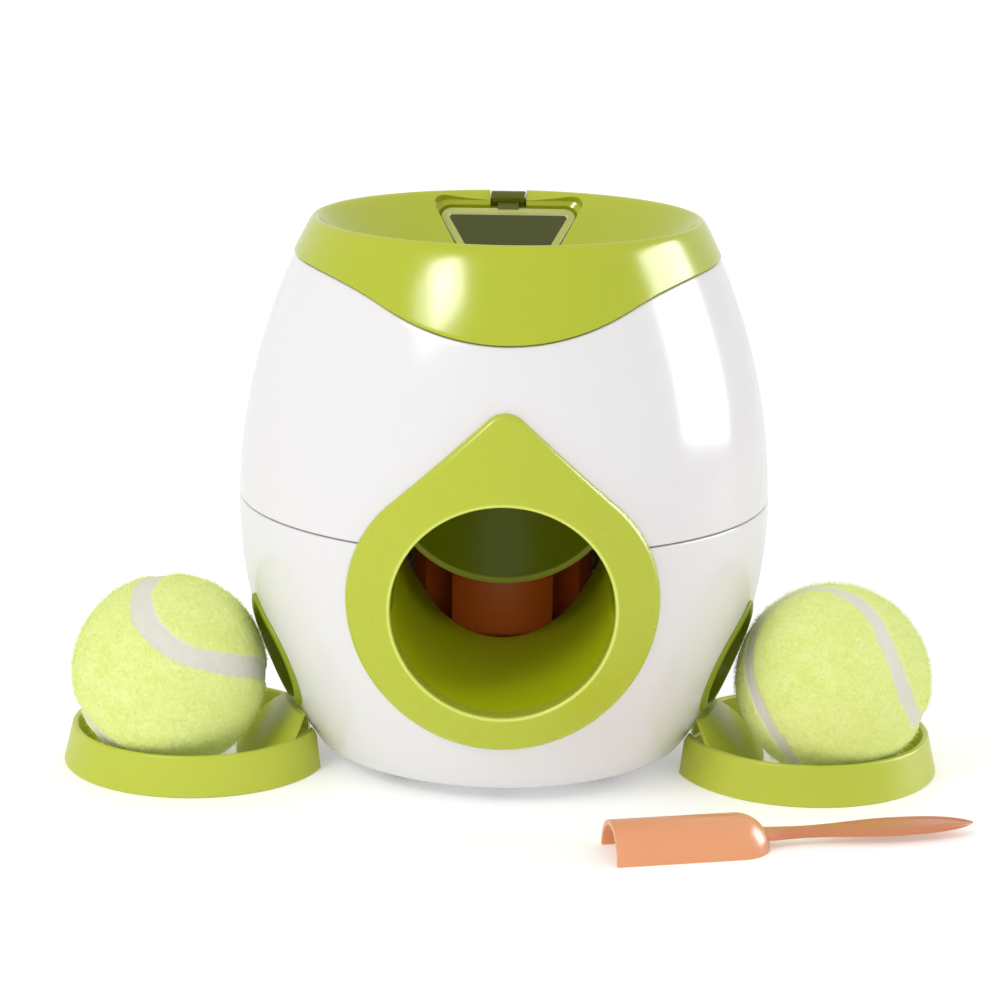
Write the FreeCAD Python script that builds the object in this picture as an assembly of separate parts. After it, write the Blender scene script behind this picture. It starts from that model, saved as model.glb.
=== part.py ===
"""Drop-in ball and treat machine for dogs: a barrel with a funnel on top, a ball mouth in
front and two treat trays at its sides.

Millimetres. +Z is up, the floor is z = 0, the barrel's axis is the Z axis and the mouth
looks along -Y. Pieces with a left and a right are made on the +X side and mirrored.
"""
import FreeCAD, Part
import os
from math import acos, asin, atan2, cos, degrees, pi, radians, sin, sqrt, tan

V = FreeCAD.Vector
AXIS_X = V(1, 0, 0)
AXIS_Y = V(0, 1, 0)
AXIS_Z = V(0, 0, 1)

# --- Barrel ---------------------------------------------------------------------------
BARREL_R = 88.3             # widest outer radius
WAIST_Z = 86.4              # height of the widest circle
UPPER_ARC_R = 196.0         # side curve above the widest circle
LOWER_ARC_R = 136.0         # side curve below it
BASE_Z = 5.0                # underside of the barrel
BASE_ROUND = 6.0            # rounding between side and underside
SHELL_WALL = 2.6
NECK_WALL = 1.8             # set-back neck of the upper shell, under the skirt
PARTING_Z = 90.0            # joint between the two shells
PARTING_GAP = 0.5           # the joint's visible line
LAP_HEIGHT = 2.4            # tongue of the lower shell inside the upper one
LAP_WALL = 1.2

# --- Fits -----------------------------------------------------------------------------
SEAT_GAP = 0.2              # between seated pieces of one body
MOVE_GAP = 0.6              # between pieces of different bodies
LID_GAP = 0.35              # under the closed hatch
HINGE_PLAY = 0.06           # radial, pin in its eye

# --- Funnel ---------------------------------------------------------------------------
RIM_Z = 181.0               # where the bowl starts, just under the crest
RIM_CREST = 2.0             # crest above that
RIM_THICK = 3.3             # rim bead, from the bowl to the outside
SKIRT_PROUD = 0.7           # skirt over the white shell
SKIRT_WALL = 2.4
SKIRT_FRONT_DROP = 27.8     # from the rim down to the skirt's lowest point, front and back
SKIRT_SIDE_DROP = 10.7      # from the rim down to its level edge at the sides
SKIRT_DIP_R = 86.0          # arc of the dip
SKIRT_SHOULDER_R = 75.6     # arc that leads to the level edge
BEAD_HEIGHT = 5.5           # of the thick rim bead
BOWL_WALL = 2.2
THROAT_R = 35.5
THROAT_Y = -18.0            # the throat stands forward, to leave room for the hatch
BOWL_DEPTH = 33.0
COLLAR_LENGTH = 8.0

# --- Hatch (distances run down the back slope of the bowl from the rim) ---------------
HATCH_TOP = 6.0
HATCH_LENGTH = 34.0
HATCH_HALF_TOP = 25.2
HATCH_HALF_FOOT = 10.6
HATCH_THICK = 2.0
HATCH_SUNK = 0.9            # panel under the bowl's back line
HATCH_LEDGE = 2.2           # ledge that the panel lies on
HATCH_FRAME = 3.0           # material round the recess
PAD_THICK = 6.0
NECK_HALF = 3.6
NECK_SINK = 1.0             # the neck starts this far inside the panel
HATCH_CORNER_R = 4.0
HATCH_SWING_ROOM = 0.9      # more room over the panel, where its lower edge swings up
HATCH_BEVEL = 0.7
KNUCKLE_HALF = 6.0
KNUCKLE_R = 2.4
HINGE_IN = 0.2              # hinge axis inside the bowl's rim circle
HINGE_DROP = 1.4            # and below it
PIN_R = 1.2
PIN_HALF = 11.0

# --- Ball way -------------------------------------------------------------------------
BALL_R = 32.5
MOUTH_R = 35.0
MOUTH_Z = 70.3
TUBE_WALL = 2.2
TUBE_FOOT_Y = -31.8         # the drop tube leans forward to this axis at TONGUE_Z
TONGUE_Z = 57.4             # lowest point of the tube, at its back
TUBE_CUT_DEG = 52.0         # slope of the cut that opens the tube to the front
TUBE_SPARE = 10.0           # length past the cut before it is made
SOCKET_DEPTH = 6.0
SOCKET_WALL = 2.2
TROUGH_R = 35.2
TROUGH_WALL = 2.2
TROUGH_TOP_Z = 66.0         # upper edge of the trough's sides
TROUGH_RISE_DEG = 0.6       # the floor falls to the mouth
SLEEVE_WALL = 2.2
SLEEVE_DEPTH = 15.3         # of the mouth's sleeve, from the barrel's widest circle

# --- Teardrop frame of the mouth ------------------------------------------------------
DROP_R = 49.3
DROP_Z = 72.0
DROP_SHOULDER_R = 43.6
DROP_TIP_R = 8.0
DROP_TIP_Z = 133.5
FRAME_PROUD = 2.4
FRAME_ROUND = 1.5

# --- Treat works ----------------------------------------------------------------------
ROTOR_R = 31.5
ROTOR_Y = 39.2
ROTOR_BOTTOM_Z = 35.2
ROTOR_TOP_Z = 65.0
ROTOR_ROUND = 3.0
POCKET_COUNT = 4
POCKET_WIDTH = 13.0
POCKET_FLOOR_R = 15.0       # how near the pockets reach to the axle
AXLE_R = 3.0
AXLE_PLAY = 0.08
AXLE_FLANGE = 2.0           # thickness of the axle's foot
AXLE_FLANGE_R = 6.0
WASHER_R = 7.0
WASHER_THICK = 1.2
DECK_R = 30.0
DECK_THICK = 2.4
LEG_R = 4.0
DECK_LEG_X = 12.0
DECK_LEG_Y = 36.0
TROUGH_LEG_X = 18.0
TROUGH_LEG_Y = -30.0
TROUGH_REAR_LEG_Y = 3.0
HOPPER_WALL = 1.8
HOPPER_FOOT_HALF_X = 17.0
HOPPER_FOOT = (8.8, 26.8)   # near and far edge of its foot, behind the rotor's axis
CHUTE_HALF = 12.0
CHUTE_WALL = 1.8
CHUTE_SIDE = 13.0
CHUTE_START = (29.0, 30.0)  # x, y of the chute's middle at the rotor

# --- Side ports -----------------------------------------------------------------------
PORT_DEG = 71.5             # from straight ahead towards +X
PORT_R = 17.5
PORT_Z = 38.5
PORT_TIP_R = 4.0
PORT_TIP_Z = 60.0
PORT_LIP = 3.0
PORT_PROUD = 1.0
PORT_DEPTH = 7.0            # sleeve of the port inside the shell
PORT_SLEEVE = 1.8

# --- Trays and balls ------------------------------------------------------------------
TRAY_OUT = 13.8             # tray's centre outside the barrel's widest circle, along X
TRAY_X = BARREL_R + TRAY_OUT
TRAY_Y = -16.0
TRAY_FOOT_R = 44.3
TRAY_RIM_R = 41.3
TRAY_HEIGHT = 13.2
TRAY_WALL = 2.2
TRAY_FLANGE = 8.0
TRAY_FLANGE_THICK = 1.8
APRON_TOP_Z = 20.2          # apron that leads from the port down into the ring
APRON_WALL = 2.0
APRON_FOOT_OUT = 1.7        # where it meets the floor, outside the barrel's widest circle
APRON_DEG = 77.0            # bearing that its outline is drawn square to
APRON_TOP_HALF = 15.0
APRON_FOOT_HALF = 36.0
APRON_SKEW = 7.0            # its top stands this far forward of the middle, its foot behind
BALL_X = TRAY_X + 7.7       # the ball lies outwards and forward in its tray
BALL_Y = TRAY_Y - 9.9
CORE_R = 29.8
CORE_WALL = 3.3

# --- Base -----------------------------------------------------------------------------
PLATE_IN = 33.3             # base plate's edge inside the barrel's widest circle
PLATE_THICK = 2.6
FLANGE_WIDTH = 9.0          # of the lower shell's floor flange over the plate
FOOT_R = 7.0
FOOT_SPREAD = 30.0
FOOT_POCKET = 1.0
FOOT_CHAMFER = 1.0

# --- Screws ---------------------------------------------------------------------------
SCREW_R = 1.4
SCREW_PLAY = 0.1
SCREW_CLEAR_R = 1.7
HEAD_R = 3.0
HEAD_HEIGHT = 1.6
HEAD_PLAY = 0.25
BASE_SCREW_IN = 4.0         # from the plate's edge
BASE_SCREW_LENGTH = 12.0
EAR_R = 5.0
EAR_IN = 7.3                # ear screws inside the barrel's side
EAR_HEIGHT = 14.0
EAR_DEG = 45.0
FUNNEL_SCREW_IN = 3.0       # from the bowl's rim circle inwards
FUNNEL_SCREW_DEG = 60.0
FUNNEL_TAB_DROP = 21.0      # tabs under the rim
TAB_THICK = 2.4
BOSS_R = 3.6

# --- Treat scoop ----------------------------------------------------------------------
SCOOP_R = 11.0
SCOOP_WALL = 1.6
SCOOP_TROUGH = 40.0
SCOOP_LENGTH = 118.0
SCOOP_NECK_HALF = 2.6
SCOOP_GRIP_HALF = 6.2
SCOOP_GRIP_THICK = 3.4
SCOOP_GRIP_Z = 2.2
SCOOP_GRIP_ROUND = 0.8
SCOOP_NECK_IN = 8.8         # neck's start past the trough's end
SCOOP_ROOT_SHARE = 1.5      # neck at the trough against its waist
SCOOP_WAIST_AT = 0.3        # places along neck and grip, as shares
SCOOP_WIDE_AT = 0.61
SCOOP_TIP_SHARE = 0.62
SCOOP_PANEL_SHARE = 0.6     # width of the inset panel against the grip
SCOOP_PANEL_START = 37.0    # its start past the trough's end
SCOOP_PANEL_MARGIN = 5.0    # its end short of the tip
SCOOP_PANEL_DEPTH = 0.5
SCOOP_X = 34.0              # mouth end of the scoop, as it lies on the floor
SCOOP_Y = -106.0
SCOOP_TURN_DEG = 12.0

BIG = 400.0                 # reach of cutting solids


# --- Helpers --------------------------------------------------------------------------
def save(name, shape):
    """Writes one node."""
    shape.exportStep("parts/%s.step" % name)


def line(a, b):
    return Part.LineSegment(a, b).toShape()


def arc(a, b, c):
    return Part.Arc(a, b, c).toShape()


def prism(points, direction):
    """Solid swept from a closed polygon along a vector."""
    return Part.Face(Part.makePolygon(points + points[:1])).extrude(direction)


def turned(edges):
    """Solid of revolution about the barrel's axis."""
    return Part.Face(Part.Wire(edges)).revolve(V(0, 0, 0), AXIS_Z, 360)


def cylinder(r, z_low, z_high, x=0.0, y=0.0):
    return Part.makeCylinder(r, z_high - z_low, V(x, y, z_low))


def tube(r_out, r_in, z_low, z_high, x=0.0, y=0.0):
    return cylinder(r_out, z_low, z_high, x, y).cut(cylinder(r_in, z_low - 1, z_high + 1, x, y))


def mirrored(shape):
    """The same piece on the -X side."""
    return shape.mirror(V(0, 0, 0), AXIS_X)


def at_bearing(radius, bearing_deg):
    """x and y at an angle from straight ahead (-Y) towards +X."""
    return radius * sin(radians(bearing_deg)), -radius * cos(radians(bearing_deg))


def four_bearings(bearing_deg):
    return [bearing_deg, 180 - bearing_deg, 180 + bearing_deg, -bearing_deg]


def screw(x, y, seat_z, length):
    """Pan-head screw driven upwards, its head below seat_z."""
    head = cylinder(HEAD_R, seat_z - HEAD_HEIGHT, seat_z, x, y)
    return head.fuse(cylinder(SCREW_R, seat_z - HEAD_HEIGHT, seat_z + length, x, y))


# --- Barrel surface -------------------------------------------------------------------
def barrel_radius(z, offset=0.0):
    """Radius of the side, offset outwards, at a height."""
    big = UPPER_ARC_R if z > WAIST_Z else LOWER_ARC_R
    return BARREL_R - big + sqrt((big + offset) ** 2 - (z - WAIST_Z) ** 2)


def barrel_solid(offset, z_top):
    """Barrel grown by an offset, cut level at z_top: side of two arcs, rounded foot."""
    bottom = BASE_Z - offset
    rounding = BASE_ROUND + offset
    centre_r = BARREL_R - LOWER_ARC_R + sqrt((LOWER_ARC_R - BASE_ROUND) ** 2
                                             - (BASE_Z + BASE_ROUND - WAIST_Z) ** 2)
    corner = V(centre_r, 0, BASE_Z + BASE_ROUND)
    lean = (corner - V(BARREL_R - LOWER_ARC_R, 0, WAIST_Z)).normalize()
    between = (lean + V(0, 0, -1)).normalize()
    side_start = corner + lean * rounding
    waist = V(BARREL_R + offset, 0, WAIST_Z)
    low_z = (side_start.z + WAIST_Z) / 2
    high_z = (WAIST_Z + z_top) / 2
    edges = [line(V(0, 0, bottom), V(centre_r, 0, bottom)),
             arc(V(centre_r, 0, bottom), corner + between * rounding, side_start)]
    if z_top > WAIST_Z:
        top = V(barrel_radius(z_top, offset), 0, z_top)
        edges.append(arc(side_start, V(barrel_radius(low_z, offset), 0, low_z), waist))
        edges.append(arc(waist, V(barrel_radius(high_z, offset), 0, high_z), top))
    else:
        top = V(barrel_radius(z_top, offset), 0, z_top)
        mid_z = (side_start.z + z_top) / 2
        edges.append(arc(side_start, V(barrel_radius(mid_z, offset), 0, mid_z), top))
    edges.append(line(top, V(0, 0, z_top)))
    edges.append(line(V(0, 0, z_top), V(0, 0, bottom)))
    return turned(edges)


def barrel_band(offset_out, offset_in, z_low, z_high):
    """Wall between two offsets of the barrel and two levels."""
    band = barrel_solid(offset_out, z_high).cut(barrel_solid(offset_in, z_high + 1))
    return band.cut(cylinder(BIG, -BIG, z_low))


def rim_r():
    """Bowl radius at the rim."""
    return barrel_radius(RIM_Z, SKIRT_PROUD) - RIM_THICK


def bead_z():
    """Underside of the rim bead."""
    return RIM_Z - BEAD_HEIGHT


def throat_z():
    return RIM_Z - BOWL_DEPTH


def hinge_y():
    return rim_r() - HINGE_IN


def hinge_z():
    return RIM_Z - HINGE_DROP


def funnel_screw_ring():
    return rim_r() - FUNNEL_SCREW_IN


def funnel_tab_z():
    return RIM_Z - FUNNEL_TAB_DROP


def ear_ring():
    return barrel_radius(PARTING_Z) - EAR_IN


def sleeve_end_y():
    """Inner end of the mouth's sleeve."""
    return SLEEVE_DEPTH - BARREL_R


def plate_r():
    return BARREL_R - PLATE_IN


# --- Outlines -------------------------------------------------------------------------
def drop_outline(radius, shoulder, centre_z, tip_r, tip_z, grow, place):
    """Face of a teardrop, point up: a lower half circle, two shoulder arcs, straight sides
    tangent to them and a round tip. grow moves the whole outline outwards and place turns
    (across, up) into a point of space."""
    side_x = radius - shoulder
    r_big, r_side, r_tip = radius + grow, shoulder + grow, tip_r + grow
    tip_c = tip_z - tip_r
    span = sqrt(side_x ** 2 + (tip_c - centre_z) ** 2)
    tangent = acos((shoulder - tip_r) / span) - asin(side_x / span)

    def shoulder_point(angle, sign):
        return place(sign * (side_x + r_side * sin(angle)), centre_z + r_side * cos(angle))

    def tip_point(angle):
        return place(r_tip * sin(angle), tip_c + r_tip * cos(angle))

    middle = (tangent + pi / 2) / 2
    right, left = shoulder_point(pi / 2, 1), shoulder_point(pi / 2, -1)
    edges = [arc(left, place(0, centre_z - r_big), right),
             arc(right, shoulder_point(middle, 1), shoulder_point(tangent, 1)),
             line(shoulder_point(tangent, 1), tip_point(tangent)),
             arc(tip_point(tangent), tip_point(0), tip_point(-tangent)),
             line(tip_point(-tangent), shoulder_point(tangent, -1)),
             arc(shoulder_point(tangent, -1), shoulder_point(middle, -1), left)]
    return Part.Face(Part.Wire(edges))


def mouth_drop(grow):
    """Prism of the mouth's teardrop, through the front of the barrel."""
    face = drop_outline(DROP_R, DROP_SHOULDER_R, DROP_Z, DROP_TIP_R, DROP_TIP_Z, grow,
                        lambda x, z: V(x, -BIG, z))
    return face.extrude(V(0, BIG - BARREL_R / 2, 0))


def port_drop(grow):
    """Prism of the right port's teardrop, square to its bearing."""
    out_x, out_y = at_bearing(1.0, PORT_DEG)
    start = V(out_x, out_y, 0) * (BARREL_R / 2)
    across = V(-out_y, out_x, 0)
    face = drop_outline(PORT_R, PORT_R, PORT_Z, PORT_TIP_R, PORT_TIP_Z, grow,
                        lambda s, z: start + across * s + V(0, 0, z))
    return face.extrude(V(out_x, out_y, 0) * BARREL_R)


def skirt_below(drop):
    """Everything under the skirt's edge, lowered by drop: a level edge at the sides and a
    bell-shaped dip of two arcs on each side, the same at front and back."""
    rise = SKIRT_FRONT_DROP - SKIRT_SIDE_DROP
    turn = acos(1 - rise / (SKIRT_DIP_R + SKIRT_SHOULDER_R))
    low = RIM_Z - SKIRT_FRONT_DROP - drop
    bend_x = SKIRT_DIP_R * sin(turn)
    bend_z = low + SKIRT_DIP_R * (1 - cos(turn))
    end_x = bend_x + SKIRT_SHOULDER_R * sin(turn)
    high = RIM_Z - SKIRT_SIDE_DROP - drop
    half_x = end_x - SKIRT_SHOULDER_R * sin(turn / 2)
    half_z = high - SKIRT_SHOULDER_R * (1 - cos(turn / 2))

    def p(x, z):
        return V(x, -BIG / 2, z)

    floor = -BIG
    edges = [arc(p(-bend_x, bend_z), p(0, low), p(bend_x, bend_z)),
             arc(p(bend_x, bend_z), p(half_x, half_z), p(end_x, high)),
             line(p(end_x, high), p(BIG, high)),
             line(p(BIG, high), p(BIG, floor)),
             line(p(BIG, floor), p(-BIG, floor)),
             line(p(-BIG, floor), p(-BIG, high)),
             line(p(-BIG, high), p(-end_x, high)),
             arc(p(-end_x, high), p(-half_x, half_z), p(-bend_x, bend_z))]
    return Part.Face(Part.Wire(edges)).extrude(V(0, BIG, 0))


def mouth_bore(grow, y_low=-BIG, y_high=None):
    y_high = sleeve_end_y() if y_high is None else y_high
    return Part.makeCylinder(MOUTH_R + grow, y_high - y_low, V(0, y_low, MOUTH_Z), AXIS_Y)


# --- Shells ---------------------------------------------------------------------------
def openings_in_shell(shape):
    """Cuts the mouth and both ports, with room for their sleeves."""
    port = port_drop(-PORT_LIP + PORT_SLEEVE + SEAT_GAP)
    shape = shape.cut(mouth_bore(SLEEVE_WALL + SEAT_GAP))
    return shape.cut(port).cut(mirrored(port))


def ears(z_low, z_high, hole_r):
    """Screw ears inside the wall at the parting line."""
    solids = []
    for bearing in four_bearings(EAR_DEG):
        x, y = at_bearing(ear_ring(), bearing)
        ear = cylinder(EAR_R, z_low, z_high, x, y).common(barrel_solid(-SHELL_WALL / 2, RIM_Z))
        solids.append(ear.cut(cylinder(hole_r, z_low - 1, z_high + 1, x, y)))
    return solids


def ear_holes(shape, z_low, z_high, hole_r):
    for bearing in four_bearings(EAR_DEG):
        x, y = at_bearing(ear_ring(), bearing)
        shape = shape.cut(cylinder(hole_r, z_low, z_high, x, y))
    return shape


def base_bosses():
    """Screw bosses on the floor flange."""
    z_low = BASE_Z + PLATE_THICK + SEAT_GAP
    solids = []
    for x, y in base_screw_spots():
        solids.append(cylinder(BOSS_R, z_low, z_low + BASE_SCREW_LENGTH, x, y))
    return solids


def make_lower_shell():
    """Wall, floor flange over the base plate, tongue of the lap joint, ears and bosses."""
    top = PARTING_Z - PARTING_GAP / 2
    shell = barrel_band(0, -SHELL_WALL, BASE_Z - 1, top)
    tongue = barrel_band(LAP_WALL - SHELL_WALL, -SHELL_WALL, top - 1, top + LAP_HEIGHT)
    seat_z = BASE_Z + PLATE_THICK + SEAT_GAP
    flange = cylinder(BIG, seat_z, seat_z + SHELL_WALL).common(
        barrel_solid(-SHELL_WALL / 2, PARTING_Z))
    flange = flange.cut(cylinder(plate_r() - FLANGE_WIDTH, -1, BIG))
    shell = shell.cut(cylinder(plate_r() + SEAT_GAP, -1, seat_z))
    shell = shell.fuse([tongue, flange] + ears(PARTING_Z - EAR_HEIGHT, top, SCREW_CLEAR_R)
                       + base_bosses())
    pilot = SCREW_R + SCREW_PLAY
    for x, y in base_screw_spots():
        shell = shell.cut(cylinder(pilot, 0, seat_z + BASE_SCREW_LENGTH - 1, x, y))
    shell = ear_holes(shell, PARTING_Z - EAR_HEIGHT - 1, top + LAP_HEIGHT + 1, SCREW_CLEAR_R)
    return openings_in_shell(shell).removeSplitter()


def funnel_tabs():
    """Tabs inside the upper shell that the funnel's screws pass through."""
    tabs = []
    for bearing in four_bearings(FUNNEL_SCREW_DEG):
        x, y = at_bearing(funnel_screw_ring(), bearing)
        tab = Part.makeBox(BARREL_R - funnel_screw_ring(), 2 * BOSS_R, TAB_THICK,
                           V(0, -BOSS_R, funnel_tab_z()))
        tab.rotate(V(0, 0, 0), AXIS_Z, bearing - 90)
        tab.translate(V(x, y, 0))
        tab = tab.fuse(cylinder(BOSS_R, funnel_tab_z(), funnel_tab_z() + TAB_THICK, x, y))
        hole = cylinder(SCREW_CLEAR_R, 0, BIG, x, y)
        tabs.append(tab.common(barrel_solid(-SHELL_WALL / 2, RIM_Z)).cut(hole))
    return tabs


def make_upper_shell():
    """Wall up to the skirt's edge, set-back neck under the skirt, ears and tabs."""
    bottom = PARTING_Z + PARTING_GAP / 2
    wall = barrel_band(0, -SHELL_WALL, bottom, RIM_Z).common(skirt_below(PARTING_GAP))
    neck_out = SKIRT_PROUD - SKIRT_WALL - SEAT_GAP
    neck = barrel_band(neck_out, neck_out - NECK_WALL, bottom, bead_z() - SEAT_GAP)
    neck = neck.cut(skirt_below(PARTING_GAP + SHELL_WALL * 2))
    pilot = SCREW_R + SCREW_PLAY
    shell = wall.fuse([neck] + ears(bottom, PARTING_Z + EAR_HEIGHT, pilot) + funnel_tabs())
    lap = barrel_band(LAP_WALL - SHELL_WALL + SEAT_GAP, -BARREL_R / 2, bottom - 1,
                      bottom + LAP_HEIGHT)
    window = hatch_plate(HATCH_FRAME + SEAT_GAP, -1.6 * PAD_THICK, 2 * PAD_THICK)
    shell = shell.cut(lap).cut(on_back_slope(window))
    return openings_in_shell(shell).removeSplitter()


# --- Funnel and hatch -----------------------------------------------------------------
def bowl_cone(grow):
    """Slanting cone from the rim circle down to the throat circle."""
    top = Part.Wire(Part.makeCircle(rim_r() + grow, V(0, 0, RIM_Z + RIM_CREST + 1)))
    rim = Part.Wire(Part.makeCircle(rim_r() + grow, V(0, 0, RIM_Z)))
    throat = Part.Wire(Part.makeCircle(THROAT_R + grow, V(0, THROAT_Y, throat_z())))
    cone = Part.makeLoft([throat, rim], True, True)
    return cone.fuse(Part.Face(top).extrude(V(0, 0, -RIM_CREST - 1)))


def slope_deg():
    """Slope of the bowl's back line."""
    return degrees(atan2(RIM_Z - throat_z(), rim_r() - THROAT_R - THROAT_Y))


def on_back_slope(shape):
    """Places a shape drawn flat: +Y climbs the back slope to the rim, +Z leaves it."""
    shape = shape.copy()
    shape.rotate(V(0, 0, 0), AXIS_X, slope_deg())
    shape.translate(V(0, rim_r(), RIM_Z))
    return shape


def hatch_plate(grow, z_low, z_high, top_room=0):
    """Trapezoid of the hatch, wide side up, grown all round and more at its top side."""
    top = -HATCH_TOP + grow + top_room
    foot = -HATCH_TOP - HATCH_LENGTH - grow
    taper = (HATCH_HALF_TOP - HATCH_HALF_FOOT) / HATCH_LENGTH
    half_top = HATCH_HALF_TOP + grow + taper * (grow + top_room)
    half_foot = HATCH_HALF_FOOT + grow - taper * grow
    points = [V(-half_top, top, z_low), V(half_top, top, z_low),
              V(half_foot, foot, z_low), V(-half_foot, foot, z_low)]
    plate = prism(points, V(0, 0, z_high - z_low))
    upright = [e for e in plate.Edges if e.BoundBox.ZLength > (z_high - z_low) / 2]
    return plate.makeFillet(max(HATCH_CORNER_R + grow, 0.5), upright)


def hinge_cylinder(r, half):
    return Part.makeCylinder(r, 2 * half, V(-half, hinge_y(), hinge_z()), AXIS_X)


def neck_box(grow, past_hinge, z_low, z_high):
    """Neck from the panel up to the hinge axis, and past it in the recess."""
    half = NECK_HALF + grow
    return Part.makeBox(2 * half, HATCH_TOP + past_hinge, z_high - z_low,
                        V(-half, -HATCH_TOP - NECK_SINK, z_low))


def make_hatch_door():
    """Clear panel with bevelled edges, a neck and the knuckle that turns on the pin."""
    low = -HATCH_SUNK - HATCH_THICK
    panel = hatch_plate(0, low, -HATCH_SUNK)
    edges = [e for e in panel.Edges if min(v.Z for v in e.Vertexes) > -HATCH_SUNK - 0.01]
    panel = panel.makeChamfer(HATCH_BEVEL, edges)
    panel = panel.fuse(neck_box(0, 0, low, -HATCH_SUNK))
    door = on_back_slope(panel).fuse(hinge_cylinder(KNUCKLE_R, KNUCKLE_HALF))
    return door.cut(hinge_cylinder(PIN_R + HINGE_PLAY, PIN_HALF + 5)).removeSplitter()


def rim_bead():
    """Thick rolled rim: flat underside on the shell's neck, half-round crest."""
    outer = barrel_radius(RIM_Z, SKIRT_PROUD)
    half = (outer - rim_r()) / 2
    foot_out = V(barrel_radius(bead_z(), SKIRT_PROUD), 0, bead_z())
    foot_in = V(rim_r() - BOWL_WALL, 0, bead_z())
    mid_z = (bead_z() + RIM_Z) / 2
    edges = [line(foot_in, foot_out),
             arc(foot_out, V(barrel_radius(mid_z, SKIRT_PROUD), 0, mid_z), V(outer, 0, RIM_Z)),
             arc(V(outer, 0, RIM_Z), V(outer - half, 0, RIM_Z + RIM_CREST), V(rim_r(), 0, RIM_Z)),
             line(V(rim_r(), 0, RIM_Z), V(rim_r() - BOWL_WALL, 0, RIM_Z)),
             line(V(rim_r() - BOWL_WALL, 0, RIM_Z), foot_in)]
    return turned(edges)


def funnel_bosses():
    """Screw bosses that stand on the shell's tabs."""
    solids = []
    for bearing in four_bearings(FUNNEL_SCREW_DEG):
        x, y = at_bearing(funnel_screw_ring(), bearing)
        solids.append(cylinder(BOSS_R, funnel_tab_z() + TAB_THICK + SEAT_GAP, RIM_Z - 1, x, y))
    return solids


def make_top_funnel():
    """Skirt, rim bead, slanting bowl, throat collar and the recessed frame of the hatch."""
    low = RIM_Z - SKIRT_FRONT_DROP - 1
    skirt = barrel_band(SKIRT_PROUD, SKIRT_PROUD - SKIRT_WALL, low, RIM_Z)
    skirt = skirt.cut(skirt_below(0))
    collar = cylinder(THROAT_R + BOWL_WALL, throat_z() - COLLAR_LENGTH, throat_z(), 0, THROAT_Y)
    pad = on_back_slope(hatch_plate(HATCH_FRAME, -PAD_THICK, 2 * PAD_THICK))
    pad = pad.common(barrel_solid(SKIRT_PROUD - SKIRT_WALL, RIM_Z - 1))
    wall = bowl_cone(BOWL_WALL).common(cylinder(BIG, throat_z(), RIM_Z - 1))
    body = wall.fuse([collar, pad] + funnel_bosses())
    body = body.fuse([rim_bead(), skirt])
    body = body.cut(bowl_cone(0))
    body = body.cut(cylinder(THROAT_R, 0, throat_z() + 1, 0, THROAT_Y))
    body = body.cut(hatch_recess())
    pilot = SCREW_R + SCREW_PLAY
    for bearing in four_bearings(FUNNEL_SCREW_DEG):
        x, y = at_bearing(funnel_screw_ring(), bearing)
        body = body.cut(cylinder(pilot, 0, funnel_tab_z() + BASE_SCREW_LENGTH, x, y))
    return body.removeSplitter()


def hatch_recess():
    """Recess for the panel, the filling hole inside its ledge, the notch for neck and
    knuckle, and the bore for the pin."""
    low = -HATCH_SUNK - HATCH_THICK - LID_GAP
    recess = hatch_plate(MOVE_GAP, low, 4 * PAD_THICK, HATCH_SWING_ROOM)
    hole = hatch_plate(-HATCH_LEDGE, -3 * PAD_THICK, 0)
    neck = neck_box(MOVE_GAP, KNUCKLE_R, low, 4 * PAD_THICK)
    cut = on_back_slope(recess.fuse([hole, neck]))
    reach = KNUCKLE_R + MOVE_GAP
    notch = Part.makeBox(2 * (KNUCKLE_HALF + MOVE_GAP), BIG, BIG,
                         V(-KNUCKLE_HALF - MOVE_GAP, hinge_y() - reach, hinge_z() - reach))
    return cut.fuse([notch, hinge_cylinder(PIN_R + HINGE_PLAY, PIN_HALF + MOVE_GAP)])


def make_hatch_pin():
    return hinge_cylinder(PIN_R, PIN_HALF)


# --- Ball way -------------------------------------------------------------------------
def slanted_tube(r, z_low, z_high):
    """Cylinder whose axis leans forward from the throat to TUBE_FOOT_Y at TONGUE_Z."""
    collar_z = throat_z() - COLLAR_LENGTH - SEAT_GAP
    run = (TUBE_FOOT_Y - THROAT_Y) / (TONGUE_Z - collar_z)
    foot = Part.Wire(Part.makeCircle(r, V(0, THROAT_Y + run * (z_low - collar_z), z_low)))
    height = z_high - z_low
    return Part.Face(foot).extrude(V(0, run * height, height))


def make_drop_tube():
    """Leaning tube with a socket for the funnel's collar and a foot cut open to the front."""
    top = throat_z() - COLLAR_LENGTH - SEAT_GAP
    socket_r = THROAT_R + BOWL_WALL + SEAT_GAP
    body = slanted_tube(THROAT_R + TUBE_WALL, TONGUE_Z - TUBE_SPARE, top)
    step = cylinder(socket_r + SOCKET_WALL, top - SOCKET_WALL, top + SOCKET_DEPTH, 0, THROAT_Y)
    step = step.cut(cylinder(socket_r, top, BIG, 0, THROAT_Y))
    body = body.fuse(step).cut(slanted_tube(THROAT_R, TONGUE_Z - 2 * TUBE_SPARE, top + 0.001))
    body = body.cut(cylinder(THROAT_R, top - SOCKET_WALL, BIG, 0, THROAT_Y))
    back_y = TUBE_FOOT_Y + THROAT_R
    climb = tan(radians(TUBE_CUT_DEG))
    cut = [V(-BIG / 2, back_y + BIG, TONGUE_Z - BIG * climb),
           V(-BIG / 2, back_y - BIG, TONGUE_Z + BIG * climb),
           V(-BIG / 2, back_y - BIG, TONGUE_Z - BIG * climb)]
    keep = cylinder(BIG, top - SOCKET_WALL, BIG)
    return body.cut(prism(cut, V(BIG, 0, 0)).cut(keep)).removeSplitter()


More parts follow.
